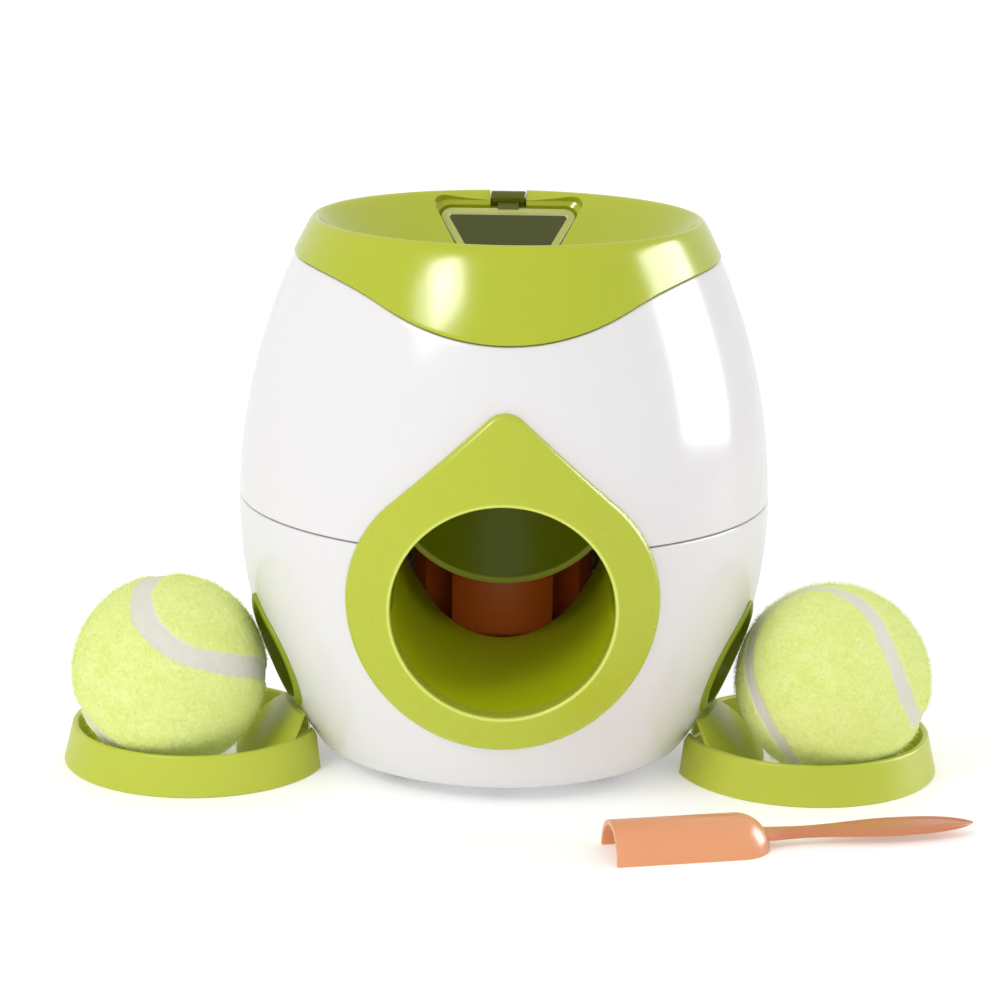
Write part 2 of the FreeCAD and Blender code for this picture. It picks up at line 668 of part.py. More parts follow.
def trough_bore(grow, y_low, y_high):
    """Round channel along the trough, falling to the mouth."""
    axis = V(0, cos(radians(TROUGH_RISE_DEG)), sin(radians(TROUGH_RISE_DEG)))
    start = V(0, sleeve_end_y(), MOUTH_Z - MOUTH_R + TROUGH_R)
    return Part.makeCylinder(TROUGH_R + grow, y_high - y_low, start + axis * (y_low - sleeve_end_y()),
                             axis)


def trough_legs():
    spots = [(TROUGH_LEG_X, TROUGH_LEG_Y), (-TROUGH_LEG_X, TROUGH_LEG_Y), (0, TROUGH_REAR_LEG_Y)]
    return spots


def make_ball_trough():
    """Half-round channel on three legs, its rear end hollowed round the rotor."""
    rear = ROTOR_Y - ROTOR_R / 2
    body = trough_bore(TROUGH_WALL, sleeve_end_y() + SEAT_GAP, rear)
    floor = BASE_Z + PLATE_THICK
    for x, y in trough_legs():
        body = body.fuse(cylinder(LEG_R, floor, MOUTH_Z, x, y))
    body = body.cut(trough_bore(0, -BARREL_R, BARREL_R))
    body = body.cut(cylinder(BIG, TROUGH_TOP_Z, BIG))
    body = body.cut(cylinder(ROTOR_R + MOVE_GAP, 0, BIG, 0, ROTOR_Y))
    for x, y in trough_legs():
        body = body.cut(cylinder(SCREW_R + SCREW_PLAY, 0, floor + BASE_SCREW_LENGTH, x, y))
    return body.removeSplitter()


def make_front_bezel():
    """Teardrop frame that follows the barrel, with the sleeve of the mouth behind it."""
    frame = barrel_solid(FRAME_PROUD, RIM_Z).common(mouth_drop(0))
    frame = frame.cut(barrel_solid(SEAT_GAP, RIM_Z + 1))
    sleeve = barrel_solid(FRAME_PROUD / 2, RIM_Z).common(mouth_bore(SLEEVE_WALL))
    body = frame.fuse(sleeve).cut(mouth_bore(0, y_high=BIG)).removeSplitter()
    rim = [e for e in body.Edges if is_front_rim(e)]
    return body.makeFillet(FRAME_ROUND, rim)


def is_front_rim(edge):
    """Edges of the frame's proud face."""
    for v in edge.Vertexes:
        skin = barrel_radius(v.Z, FRAME_PROUD)
        if abs(sqrt(v.X ** 2 + v.Y ** 2) - skin) > 0.02:
            return False
    return True


# --- Treat works ----------------------------------------------------------------------
def make_treat_rotor():
    """Drum with open pockets round its side and a rounded lower edge."""
    drum = cylinder(ROTOR_R, ROTOR_BOTTOM_Z, ROTOR_TOP_Z, 0, ROTOR_Y)
    drum = drum.makeFillet(ROTOR_ROUND, [e for e in drum.Edges
                                         if e.BoundBox.ZMax < ROTOR_BOTTOM_Z + 0.01])
    for i in range(POCKET_COUNT):
        angle = 360 / POCKET_COUNT * (i + 0.5)
        reach = POCKET_FLOOR_R + POCKET_WIDTH / 2
        box = Part.makeBox(ROTOR_R, POCKET_WIDTH, BIG, V(reach, -POCKET_WIDTH / 2, 0))
        pocket = box.fuse(cylinder(POCKET_WIDTH / 2, 0, BIG, reach, 0))
        pocket.rotate(V(0, 0, 0), AXIS_Z, angle)
        pocket.translate(V(0, ROTOR_Y, 0))
        drum = drum.cut(pocket)
    return drum.cut(cylinder(AXLE_R + AXLE_PLAY, 0, BIG, 0, ROTOR_Y)).removeSplitter()


def deck_top():
    return ROTOR_BOTTOM_Z - MOVE_GAP


def make_rotor_deck():
    """Floor under the rotor on two legs, with a bearing pad round the axle."""
    top = deck_top()
    base = BASE_Z + PLATE_THICK
    deck = cylinder(DECK_R, top - DECK_THICK, top, 0, ROTOR_Y)
    deck = deck.cut(trough_bore(TROUGH_WALL + SEAT_GAP, sleeve_end_y(), ROTOR_Y - ROTOR_R / 2 + 1))
    for x in (DECK_LEG_X, -DECK_LEG_X):
        deck = deck.fuse(cylinder(LEG_R, base, top - 0.1, x, DECK_LEG_Y))
    for x in (DECK_LEG_X, -DECK_LEG_X):
        deck = deck.cut(cylinder(SCREW_R + SCREW_PLAY, 0, base + BASE_SCREW_LENGTH, x, DECK_LEG_Y))
    deck = deck.cut(cylinder(AXLE_R + SCREW_PLAY, 0, BIG, 0, ROTOR_Y))
    return deck.common(barrel_solid(-SHELL_WALL - SEAT_GAP, RIM_Z)).removeSplitter()


def axle_top():
    return ROTOR_TOP_Z + MOVE_GAP / 2


def make_rotor_axle():
    """Shouldered post: flange under the deck, shaft through the rotor."""
    foot = deck_top() - DECK_THICK - SEAT_GAP
    post = cylinder(AXLE_R, foot - AXLE_FLANGE, axle_top(), 0, ROTOR_Y)
    post = post.fuse(cylinder(AXLE_FLANGE_R, foot - AXLE_FLANGE, foot, 0, ROTOR_Y))
    return post.cut(cylinder(SCREW_R + SCREW_PLAY, axle_top() - BASE_SCREW_LENGTH, BIG, 0, ROTOR_Y))


def make_rotor_washer():
    return tube(WASHER_R, SCREW_CLEAR_R, axle_top(), axle_top() + WASHER_THICK, 0, ROTOR_Y)


def make_rotor_screw():
    """Screw driven down into the axle over the washer."""
    seat = axle_top() + WASHER_THICK
    head = cylinder(HEAD_R, seat, seat + HEAD_HEIGHT, 0, ROTOR_Y)
    return head.fuse(cylinder(SCREW_R, seat - BASE_SCREW_LENGTH + 1, seat + 1, 0, ROTOR_Y))


def hopper_body(grow):
    """Bin from the hatch frame down to a slot over the rear of the rotor."""
    top = on_back_slope(hatch_plate(grow, -PAD_THICK - SEAT_GAP, -PAD_THICK - SEAT_GAP + 1))
    face = [f for f in top.Faces if f.normalAt(0, 0).z < -0.7][0]
    half = HOPPER_FOOT_HALF_X + grow
    y_near = ROTOR_Y + HOPPER_FOOT[0] - grow
    y_far = ROTOR_Y + HOPPER_FOOT[1] + grow
    z = ROTOR_TOP_Z + WASHER_THICK + HEAD_HEIGHT
    foot = Part.makePolygon([V(-half, y_far, z), V(half, y_far, z), V(half * 0.8, y_near, z),
                             V(-half * 0.8, y_near, z), V(-half, y_far, z)])
    return Part.makeLoft([foot, face.OuterWire], True, True)


def make_treat_hopper():
    """Tapered bin, open at both ends."""
    return hopper_body(0).cut(hopper_body(-HOPPER_WALL))


def chute_solid():
    """U-shaped slide from the rotor's side down to the right port."""
    start = V(CHUTE_START[0], CHUTE_START[1], deck_top() - DECK_THICK)
    end_x, end_y = at_bearing(barrel_radius(PORT_Z) - SHELL_WALL - PORT_DEPTH / 2, PORT_DEG)
    sill = PORT_Z - PORT_R + PORT_LIP
    end = V(end_x, end_y, sill - CHUTE_WALL - SEAT_GAP)
    run = end - start
    flat = V(run.x, run.y, 0).normalize()
    across = V(-flat.y, flat.x, 0)
    side = V(0, 0, CHUTE_SIDE)
    wall = across * CHUTE_WALL
    left = start - across * CHUTE_HALF
    right = start + across * CHUTE_HALF
    floor = V(0, 0, CHUTE_WALL)
    points = [left, right, right + side, right + side - wall, right - wall + floor,
              left + wall + floor, left + wall + side, left + side]
    return prism(points, run)


def make_treat_chute():
    body = chute_solid()
    body = body.cut(cylinder(ROTOR_R + MOVE_GAP, 0, BIG, 0, ROTOR_Y))
    body = body.cut(cylinder(DECK_R + SEAT_GAP, 0, BIG, 0, ROTOR_Y))
    body = body.cut(trough_bore(TROUGH_WALL + SEAT_GAP, sleeve_end_y() - 10, ROTOR_Y))
    keep = barrel_solid(-SHELL_WALL - PORT_DEPTH + 1, RIM_Z)
    return body.common(keep).removeSplitter()


# --- Ports and trays ------------------------------------------------------------------
def make_port_bezel():
    """Proud teardrop frame and the sleeve that passes through the shell."""
    frame = barrel_solid(PORT_PROUD, RIM_Z).common(port_drop(0))
    frame = frame.cut(barrel_solid(SEAT_GAP, RIM_Z + 1))
    sleeve = barrel_solid(PORT_PROUD / 2, RIM_Z).common(port_drop(-PORT_LIP + PORT_SLEEVE))
    sleeve = sleeve.cut(barrel_solid(-SHELL_WALL - PORT_DEPTH + PORT_SLEEVE, RIM_Z + 1))
    return frame.fuse(sleeve).cut(port_drop(-PORT_LIP)).removeSplitter()


def tray_cone(inset, z_low, z_high):
    """The tray's conical outline, inset from its outer face."""
    lean = (TRAY_FOOT_R - TRAY_RIM_R) / TRAY_HEIGHT
    r_low = TRAY_FOOT_R - inset - lean * z_low
    r_high = TRAY_FOOT_R - inset - lean * z_high
    return Part.makeCone(r_low, r_high, z_high - z_low, V(TRAY_X, TRAY_Y, z_low))


def apron():
    """Sloping wall round the barrel, cut to an outline that widens from the port to the
    ring."""
    top_r = barrel_radius(APRON_TOP_Z, MOVE_GAP)
    profile = [V(top_r, 0, APRON_TOP_Z), V(top_r + APRON_WALL, 0, APRON_TOP_Z),
               V((BARREL_R + APRON_FOOT_OUT), 0, 0), V((BARREL_R + APRON_FOOT_OUT) - 1.5 * APRON_WALL, 0, 0)]
    wall = Part.Face(Part.makePolygon(profile + profile[:1])).revolve(V(0, 0, 0), AXIS_Z, 360)
    out_x, out_y = at_bearing(1.0, APRON_DEG)
    out = V(out_x, out_y, 0)
    across = V(-out_y, out_x, 0)

    def p(side, z):
        return out * BARREL_R / 2 + across * side + V(0, 0, z)

    outline = [p(-APRON_SKEW - APRON_TOP_HALF, APRON_TOP_Z + 1),
               p(-APRON_SKEW + APRON_TOP_HALF, APRON_TOP_Z + 1),
               p(APRON_SKEW + APRON_FOOT_HALF, -1), p(APRON_SKEW - APRON_FOOT_HALF, -1)]
    return wall.common(prism(outline, out * BIG))


def make_tray():
    """Conical ring with an open floor, an inner flange and the apron under the port."""
    ring = tray_cone(0, 0, TRAY_HEIGHT).cut(tray_cone(TRAY_WALL, -1, TRAY_HEIGHT + 1))
    flange = tray_cone(0, 0, TRAY_FLANGE_THICK).cut(
        cylinder(TRAY_FOOT_R - TRAY_FLANGE, -1, BIG, TRAY_X, TRAY_Y))
    inner = apron().common(cylinder(TRAY_RIM_R, 0, BIG, TRAY_X, TRAY_Y))
    body = ring.fuse([flange, inner])
    body = body.cut(barrel_solid(MOVE_GAP, RIM_Z))
    frame_room = barrel_solid(PORT_PROUD + MOVE_GAP, RIM_Z).common(port_drop(MOVE_GAP))
    body = body.cut(frame_room)
    return body.cut(sphere(BALL_R + MOVE_GAP)).removeSplitter()


def sphere(r):
    return Part.makeSphere(r, V(BALL_X, BALL_Y, BALL_R))


def make_ball_core():
    """Hollow rubber core."""
    return sphere(CORE_R).cut(sphere(CORE_R - CORE_WALL))


def make_ball_felt():
    """Felt cover round the core."""
    return sphere(BALL_R).cut(sphere(CORE_R + SEAT_GAP / 4))


# --- Base and fasteners ---------------------------------------------------------------
def plate_screw_spots():
    """Screws that pass the base plate into the trough's and deck's legs."""
    return trough_legs() + [(DECK_LEG_X, DECK_LEG_Y), (-DECK_LEG_X, DECK_LEG_Y)]


def base_screw_spots():
    return [at_bearing(plate_r() - BASE_SCREW_IN, bearing) for bearing in (0, 90, 180, 270)]


def foot_spots():
    return [(sx * FOOT_SPREAD, sy * FOOT_SPREAD) for sx in (-1, 1) for sy in (-1, 1)]


def make_base_plate():
    """Bottom cover with counterbored screw holes and pockets for the feet."""
    plate = cylinder(plate_r(), BASE_Z, BASE_Z + PLATE_THICK)
    for x, y in plate_screw_spots() + base_screw_spots():
        plate = plate.cut(cylinder(SCREW_CLEAR_R, 0, BIG, x, y))
        plate = plate.cut(cylinder(HEAD_R + HEAD_PLAY, 0, BASE_Z + HEAD_HEIGHT, x, y))
    for x, y in foot_spots():
        plate = plate.cut(cylinder(FOOT_R + SEAT_GAP, 0, BASE_Z + FOOT_POCKET, x, y))
    return plate


def make_rubber_feet():
    feet = []
    for x, y in foot_spots():
        foot = cylinder(FOOT_R, 0, BASE_Z + FOOT_POCKET, x, y)
        low = [e for e in foot.Edges if e.BoundBox.ZMax < 0.01]
        feet.append(foot.makeChamfer(FOOT_CHAMFER, low))
    return Part.makeCompound(feet)


def make_screws(spots, seat_z, length):
    return Part.makeCompound([screw(x, y, seat_z, length) for x, y in spots])


# --- Scoop ----------------------------------------------------------------------------
def leaf(width_share, tip_x, start_x):
    """Plan of neck and grip, from start_x to a round tip: a slim neck that widens to a leaf,
    with all widths taken by a share."""
    neck_x = SCOOP_TROUGH + SCOOP_NECK_IN
    wide_x = neck_x + (SCOOP_LENGTH - neck_x) * SCOOP_WIDE_AT
    waist_x = neck_x + (wide_x - neck_x) * SCOOP_WAIST_AT
    root = SCOOP_NECK_HALF * SCOOP_ROOT_SHARE * width_share
    neck, grip = SCOOP_NECK_HALF * width_share, SCOOP_GRIP_HALF * width_share
    shoulder_x = tip_x - grip * 0.5
    shoulder = grip * SCOOP_TIP_SHARE
    through = [(neck_x, root), (waist_x, neck), (wide_x, grip), (shoulder_x, shoulder)]
    through = [(x, y) for x, y in through if x > start_x] if start_x > neck_x else through
    if start_x > neck_x:
        through = [(start_x, 0.5 * (neck + grip))] + through

    def side(sign):
        curve = Part.BSplineCurve()
        curve.interpolate([V(x, sign * y, 0) for x, y in through])
        return curve.toShape()

    tip = arc(V(shoulder_x, -shoulder, 0), V(tip_x, 0, 0), V(shoulder_x, shoulder, 0))
    first_x, first = through[0]
    end = line(V(first_x, -first, 0), V(first_x, first, 0))
    return Part.Face(Part.Wire([side(1), tip, side(-1), end]))


def bullet(r, start_x):
    """Round bar along X from start_x with a half-round end."""
    bar = Part.makeCylinder(r, SCOOP_TROUGH - start_x, V(start_x, 0, 0), AXIS_X)
    return bar.fuse(Part.makeSphere(r, V(SCOOP_TROUGH, 0, 0)))


def make_scoop():
    """Half pipe with a closed round shoulder, a slim neck and a leaf-shaped grip with a
    shallow panel let into its top."""
    shell = bullet(SCOOP_R, 0).cut(bullet(SCOOP_R - SCOOP_WALL, -SCOOP_WALL))
    shell = shell.cut(cylinder(BIG, -BIG, 0))
    grip = leaf(1, SCOOP_LENGTH, 0).extrude(V(0, 0, SCOOP_GRIP_THICK))
    rims = [e for e in grip.Edges if e.BoundBox.ZLength < SCOOP_WALL
            and e.BoundBox.XMax > SCOOP_TROUGH + SCOOP_R]
    grip = grip.makeFillet(SCOOP_GRIP_ROUND, rims)
    panel = leaf(SCOOP_PANEL_SHARE, SCOOP_LENGTH - SCOOP_PANEL_MARGIN,
                 SCOOP_TROUGH + SCOOP_PANEL_START).extrude(V(0, 0, SCOOP_GRIP_THICK))
    panel.translate(V(0, 0, SCOOP_GRIP_THICK - SCOOP_PANEL_DEPTH))
    grip = grip.cut(panel)
    grip.translate(V(0, 0, SCOOP_GRIP_Z))
    grip = grip.cut(bullet(SCOOP_R - SCOOP_WALL / 2, 0))
    scoop = shell.fuse(grip).removeSplitter()
    scoop.rotate(V(0, 0, 0), AXIS_Z, SCOOP_TURN_DEG)
    scoop.translate(V(SCOOP_X, SCOOP_Y, 0))
    return scoop


# --- All nodes ------------------------------------------------------------------------
def main():
    os.makedirs("parts", exist_ok=True)
    plate_seat = BASE_Z + HEAD_HEIGHT
    ear_spots = [at_bearing(ear_ring(), bearing) for bearing in four_bearings(EAR_DEG)]
    tab_spots = [at_bearing(funnel_screw_ring(), b) for b in four_bearings(FUNNEL_SCREW_DEG)]
    save("base_plate", make_base_plate())
    save("rubber_feet", make_rubber_feet())
    save("lower_shell", make_lower_shell())
    save("upper_shell", make_upper_shell())
    save("top_funnel", make_top_funnel())
    save("hatch_door", make_hatch_door())
    save("hatch_pin", make_hatch_pin())
    save("front_bezel", make_front_bezel())
    save("drop_tube", make_drop_tube())
    save("ball_trough", make_ball_trough())
    save("treat_hopper", make_treat_hopper())
    save("treat_rotor", make_treat_rotor())
    save("rotor_deck", make_rotor_deck())
    save("rotor_axle", make_rotor_axle())
    save("rotor_washer", make_rotor_washer())
    save("rotor_screw", make_rotor_screw())
    save("base_screws", make_screws(base_screw_spots(), plate_seat, BASE_SCREW_LENGTH))
    save("leg_screws", make_screws(plate_screw_spots(), plate_seat, BASE_SCREW_LENGTH))
    save("shell_screws", make_screws(ear_spots, PARTING_Z - EAR_HEIGHT, 2 * EAR_HEIGHT - 4))
    save("funnel_screws", make_screws(tab_spots, funnel_tab_z(), BASE_SCREW_LENGTH - 1))
    for name, make in (("port_bezel", make_port_bezel), ("treat_chute", make_treat_chute),
                       ("tray", make_tray), ("ball_core", make_ball_core),
                       ("ball_felt", make_ball_felt)):
        right = make()
        save(name + "_right", right)
        save(name + "_left", mirrored(right))
    save("scoop", make_scoop())


main()
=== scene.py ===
"""Drop-in ball and treat machine for dogs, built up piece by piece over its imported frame.

Sizes are in millimetres and become metres where a mesh is made. +Z is up, the floor is
z = 0, the barrel's axis is the Z axis and the mouth looks along -Y.
"""
from math import acos, asin, atan2, cos, hypot, pi, radians, sin, sqrt, tan

import bmesh
import bpy
import numpy as np
from mathutils import Matrix, Vector


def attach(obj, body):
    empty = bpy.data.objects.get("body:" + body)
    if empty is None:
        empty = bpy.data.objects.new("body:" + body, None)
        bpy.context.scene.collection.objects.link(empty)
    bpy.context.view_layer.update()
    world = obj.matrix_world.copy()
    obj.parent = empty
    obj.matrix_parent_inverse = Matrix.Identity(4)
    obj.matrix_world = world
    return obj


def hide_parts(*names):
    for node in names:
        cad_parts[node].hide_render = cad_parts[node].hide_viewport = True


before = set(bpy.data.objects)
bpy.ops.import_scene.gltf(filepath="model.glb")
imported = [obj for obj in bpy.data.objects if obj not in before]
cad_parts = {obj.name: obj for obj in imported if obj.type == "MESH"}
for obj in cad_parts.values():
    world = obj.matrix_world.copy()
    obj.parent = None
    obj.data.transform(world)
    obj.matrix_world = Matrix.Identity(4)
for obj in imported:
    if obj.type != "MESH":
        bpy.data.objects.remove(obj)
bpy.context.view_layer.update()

MM = 0.001

# --- Camera ---------------------------------------------------------------------------
# A long lens just under a metre in front of the machine, a little above its rim, that
# looks down at the mouth and leans by less than a degree.
CAMERA_AT = (-1.33, -962.0, 321.0)
CAMERA_TILT_DEG = 76.28
CAMERA_ROLL = 0.0153
LENS_MM = 106.2
SENSOR_MM = 36.0

lens = bpy.data.cameras.new("camera")
lens.lens = LENS_MM
lens.sensor_width = SENSOR_MM
camera = bpy.data.objects.new("camera", lens)
bpy.context.scene.collection.objects.link(camera)
camera.matrix_world = (Matrix.Translation([v * MM for v in CAMERA_AT])
                       @ Matrix.Rotation(radians(CAMERA_TILT_DEG), 4, "X")
                       @ Matrix.Rotation(CAMERA_ROLL, 4, "Z"))
bpy.context.scene.camera = camera
bpy.context.scene.view_settings.view_transform = "Standard"

# --- Lower half of the barrel ---------------------------------------------------------
# Glossy white injection-moulded cup with a rounded foot. It ends at the parting line in a
# small round lip, and is holed for the mouth and both ports.
BARREL_R = 88.3
WAIST_Z = 86.4
UPPER_ARC_R = 196.0
LOWER_ARC_R = 136.0
BASE_Z = 5.0
BASE_ROUND = 6.0
BASE_OPENING_R = 55.2
SHELL_WALL = 2.6
PARTING_Z = 90.0
PARTING_GAP = 0.55
LIP_R = 0.45
MOUTH_Z = 70.3
MOUTH_HOLE_R = 40.0
PORT_DEG = 71.5
PORT_SIZE = (17.5, 17.5, 38.5, 4.0, 60.0)
PORT_HOLE_GROW = -1.3
SHARP_DEG = 38.0
SHELL_WHITE = (237, 235, 235)


class Link:
    """A shader socket that takes part in sums, so that a + b or 1 - a adds Math nodes."""

    def __init__(self, tree, socket):
        self.tree = tree
        self.socket = socket

    def node(self, kind, settings=None, inputs=None, output=0):
        """Adds a node: settings by name first, then values or Links by socket."""
        made = self.tree.nodes.new(kind)
        for key, value in (settings or {}).items():
            setattr(made, key, value)
        for key, value in (inputs or {}).items():
            if isinstance(value, Link):
                self.tree.links.new(value.socket, made.inputs[key])
            else:
                made.inputs[key].default_value = value
        return Link(self.tree, made.outputs[output])

    def math(self, operation, a, b):
        return self.node("ShaderNodeMath", {"operation": operation}, {0: a, 1: b})

    def __add__(self, other):
        return self.math("ADD", self, other)

    def __radd__(self, other):
        return self.math("ADD", other, self)

    def __sub__(self, other):
        return self.math("SUBTRACT", self, other)

    def __rsub__(self, other):
        return self.math("SUBTRACT", other, self)

    def __mul__(self, other):
        return self.math("MULTIPLY", self, other)

    def __rmul__(self, other):
        return self.math("MULTIPLY", other, self)

    def clamped(self):
        return self.node("ShaderNodeClamp", None, {"Value": self})

    def step(self, low, high):
        """0 below low, 1 above high and a smooth rise between them."""
        return self.node("ShaderNodeMapRange", {"interpolation_type": "SMOOTHSTEP"},
                         {"Value": self, "From Min": low, "From Max": high})

    def noise(self, scale, detail=2.0, rough=0.5):
        """Soft cloud noise over this position, with scale in features a metre."""
        return self.node("ShaderNodeTexNoise", None, {"Vector": self, "Scale": scale,
                                                      "Detail": detail, "Roughness": rough})

    def bump(self, strength, distance):
        """Shading normal over this value as a height, with the distance in metres."""
        return self.node("ShaderNodeBump", None, {"Height": self, "Strength": strength,
                                                  "Distance": distance})

    def mark(self, name, output=2):
        """Value that the points of a piece carry by name, or their colour at output 0."""
        return self.node("ShaderNodeAttribute", {"attribute_name": name}, output=output)

    def mixed(self, low, high):
        """Colour that goes from low to high with this value."""
        return self.node("ShaderNodeMix", {"data_type": "RGBA"},
                         {"Factor": self, 6: low, 7: high}, output=2)

    def shaded(self, other, amount):
        """This colour times another, by an amount."""
        return self.node("ShaderNodeMix", {"data_type": "RGBA", "blend_type": "MULTIPLY"},
                         {"Factor": amount, 6: self, 7: other}, output=2)


def srgb(red, green, blue):
    """Display colour, 0 to 255, as the shader's linear one."""
    parts = [v / 255 for v in (red, green, blue)]
    return tuple(v / 12.92 if v <= 0.04045 else ((v + 0.055) / 1.055) ** 2.4
                 for v in parts) + (1.0,)


def new_finish(name, **constants):
    """A new material: the sockets that stay the same are set on its shader, and the
    shader and the position on the piece are returned with it."""
    finish = bpy.data.materials.new(name)
    finish.use_nodes = True
    shader = finish.node_tree.nodes["Principled BSDF"]
    for key, value in constants.items():
        shader.inputs[key.replace("_", " ")].default_value = value
    start = Link(finish.node_tree, None)
    place = start.node("ShaderNodeTexCoord", output=3)
    return finish, shader, place


def plug(shader, **links):
    """Feeds shader sockets by name."""
    for key, link in links.items():
        link.tree.links.new(link.socket, shader.inputs[key.replace("_", " ")])


def moulded(name, colour, deeper, rough, grain, edge=None, **constants):
    """Moulded plastic: slow drift between two near colours, faint flow marks and scuffs in
    the gloss, and the fine orange-peel that a polished mould leaves. Where the piece marks
    edges as thin, they take the paler edge colour: a painted highlight along those edges."""
    finish, shader, place = new_finish(name, **constants)
    drift = place.noise(14.0, 3.0)
    flow = place.noise(90.0, 4.0, 0.6)
    scuff = place.noise(900.0, 5.0, 0.7).step(0.62, 0.78)
    body = (drift * 0.7 + flow * 0.3).mixed(colour, deeper)
    # Painted highlight: edges marked thin are painted in the paler edge colour.
    if edge:
        body = place.mark("thin").mixed(body, edge)
    peel = place.noise(420.0, 2.0) + place.noise(2600.0, 1.0) * 0.15
    plug(shader, Base_Color=body, Roughness=rough + flow * 0.06 + scuff * 0.10,
         Normal=peel.bump(grain, 0.0006))
    return finish


def barrel_radius(z, out=0.0):
    """Radius of the side at a height: widest radius - arc + root((arc + out)^2 - (z -
    waist)^2), with the larger arc above the waist."""
    arc = np.where(z > WAIST_Z, UPPER_ARC_R, LOWER_ARC_R)
    return BARREL_R - arc + np.sqrt((arc + out) ** 2 - (z - WAIST_Z) ** 2)


def turned(bearing, radius, z):
    """Points at a bearing from straight ahead, a radius and a height."""
    bearing, radius, z = np.broadcast_arrays(bearing, radius, z)
    return np.stack([radius * np.sin(bearing), -radius * np.cos(bearing), z], -1)


def cells(rows, columns, wrap_rows=False, wrap_columns=False):
    """Corner numbers of a grid's cells, as (rows, columns, 4)."""
    number = np.arange(rows * columns).reshape(rows, columns)
    i = np.arange(rows if wrap_rows else rows - 1)[:, None]
    j = np.arange(columns if wrap_columns else columns - 1)[None]
    ii, jj = (i + 1) % rows, (j + 1) % columns
    return np.stack([number[i, j], number[ii, j], number[ii, jj], number[i, jj]], -1)


def walled(outer, inner, keep=None, wrap_rows=False):
    """Closed wall between two matching grids: the outer cells, the inner cells turned
    round, and a strip wherever a kept cell has no neighbour."""
    rows, columns = outer.shape[:2]
    quads = cells(rows, columns, wrap_rows)
    keep = np.ones(quads.shape[:2], bool) if keep is None else keep
    near = np.zeros((keep.shape[0] + 2, keep.shape[1] + 2), bool)
    near[1:-1, 1:-1] = keep
    if wrap_rows:
        near[0], near[-1] = near[-2], near[1]
    sides = [keep & ~near[1:-1, :-2], keep & ~near[2:, 1:-1],
             keep & ~near[1:-1, 2:], keep & ~near[:-2, 1:-1]]
    edges = np.concatenate([quads[s][:, [k, (k + 1) % 4]] for k, s in enumerate(sides)])
    lift = rows * columns
    strips = np.stack([edges[:, 1], edges[:, 0], edges[:, 0] + lift, edges[:, 1] + lift], -1)
    faces = np.concatenate([quads[keep], quads[keep][:, ::-1] + lift, strips])
    points = np.concatenate([outer.reshape(-1, 3), inner.reshape(-1, 3)])
    return points, faces.tolist()


def looped(grid, wrap_rows=True):
    """Closed body whose columns close on themselves. Rows that don't wrap end in caps."""
    rows, columns = grid.shape[:2]
    faces = cells(rows, columns, wrap_rows, True).reshape(-1, 4).tolist()
    if not wrap_rows:
        faces.append(list(range(columns)))
        faces.append(list(range(rows * columns - 1, (rows - 1) * columns - 1, -1)))
    return grid.reshape(-1, 3), faces


def joined(*bodies):
    """Several (points, faces) as one."""
    points, faces, start = [], [], 0
    for some_points, some_faces in bodies:
        points.append(some_points)
        faces += [[v + start for v in face] for face in some_faces]
        start += len(some_points)
    return np.concatenate(points), faces


def new_piece(name, body, finish, sharp_deg=SHARP_DEG, **marks):
    """A piece from (points in mm, faces): doubles merged, faces turned outwards, smooth but
    for edges sharper than an angle. Marks are values or colours, one a point, that the
    finish reads by name."""
    mesh = bpy.data.meshes.new(name)
    mesh.from_pydata((body[0] * MM).tolist(), [], body[1])
    for mark, values in marks.items():
        kind, key = ("FLOAT", "value") if values.ndim == 1 else ("FLOAT_COLOR", "color")
        mesh.attributes.new(mark, kind, "POINT").data.foreach_set(key, values.ravel())
    work = bmesh.new()
    work.from_mesh(mesh)
    bmesh.ops.remove_doubles(work, verts=work.verts, dist=1e-7)
    bmesh.ops.recalc_face_normals(work, faces=work.faces)
    work.to_mesh(mesh)
    work.free()
    mesh.shade_smooth()
    mesh.set_sharp_from_angle(angle=radians(sharp_deg))
    mesh.materials.append(finish)
    piece = bpy.data.objects.new(name, mesh)
    bpy.context.scene.collection.objects.link(piece)
    return piece


def drop_outline(size, grow):
    """Teardrop, point up, as (across, up) points: lower half circle, shoulder arcs, straight
    sides tangent to them and a round tip, all moved outwards by grow."""
    radius, shoulder, centre_z, tip_r, tip_z = size
    side = radius - shoulder
    tip_c = tip_z - tip_r
    span = hypot(side, tip_c - centre_z)
    tangent = acos((shoulder - tip_r) / span) - asin(side / span)

    def arc(x, z, r, start, end, count):
        a = np.linspace(start, end, count)
        return np.stack([x + r * np.sin(a), z + r * np.cos(a)], -1)

    lower = arc(0, centre_z, radius + grow, pi, pi / 2, 41)[:-1]
    bend = arc(side, centre_z, shoulder + grow, pi / 2, tangent, 21)
    tip = arc(0, tip_c, tip_r + grow, tangent, 0, 13)
    t = np.linspace(0, 1, 22)[1:-1, None]
    right = np.concatenate([lower, bend, bend[-1] * (1 - t) + tip[0] * t, tip])
    return np.concatenate([right, right[-2:0:-1] * [-1, 1]])


def within(outline, across, up):
    """Whether points lie inside an outline, by the count of its edges that each crosses."""
    x0, z0 = outline.T
    x1, z1 = np.roll(outline, -1, 0).T
    across, up = across[..., None], up[..., None]
    spans = (z0 > up) != (z1 > up)
    at = x0 + (up - z0) * (x1 - x0) / np.where(z1 == z0, 1, z1 - z0)
    return (spans & (across < at)).sum(-1) % 2 == 1


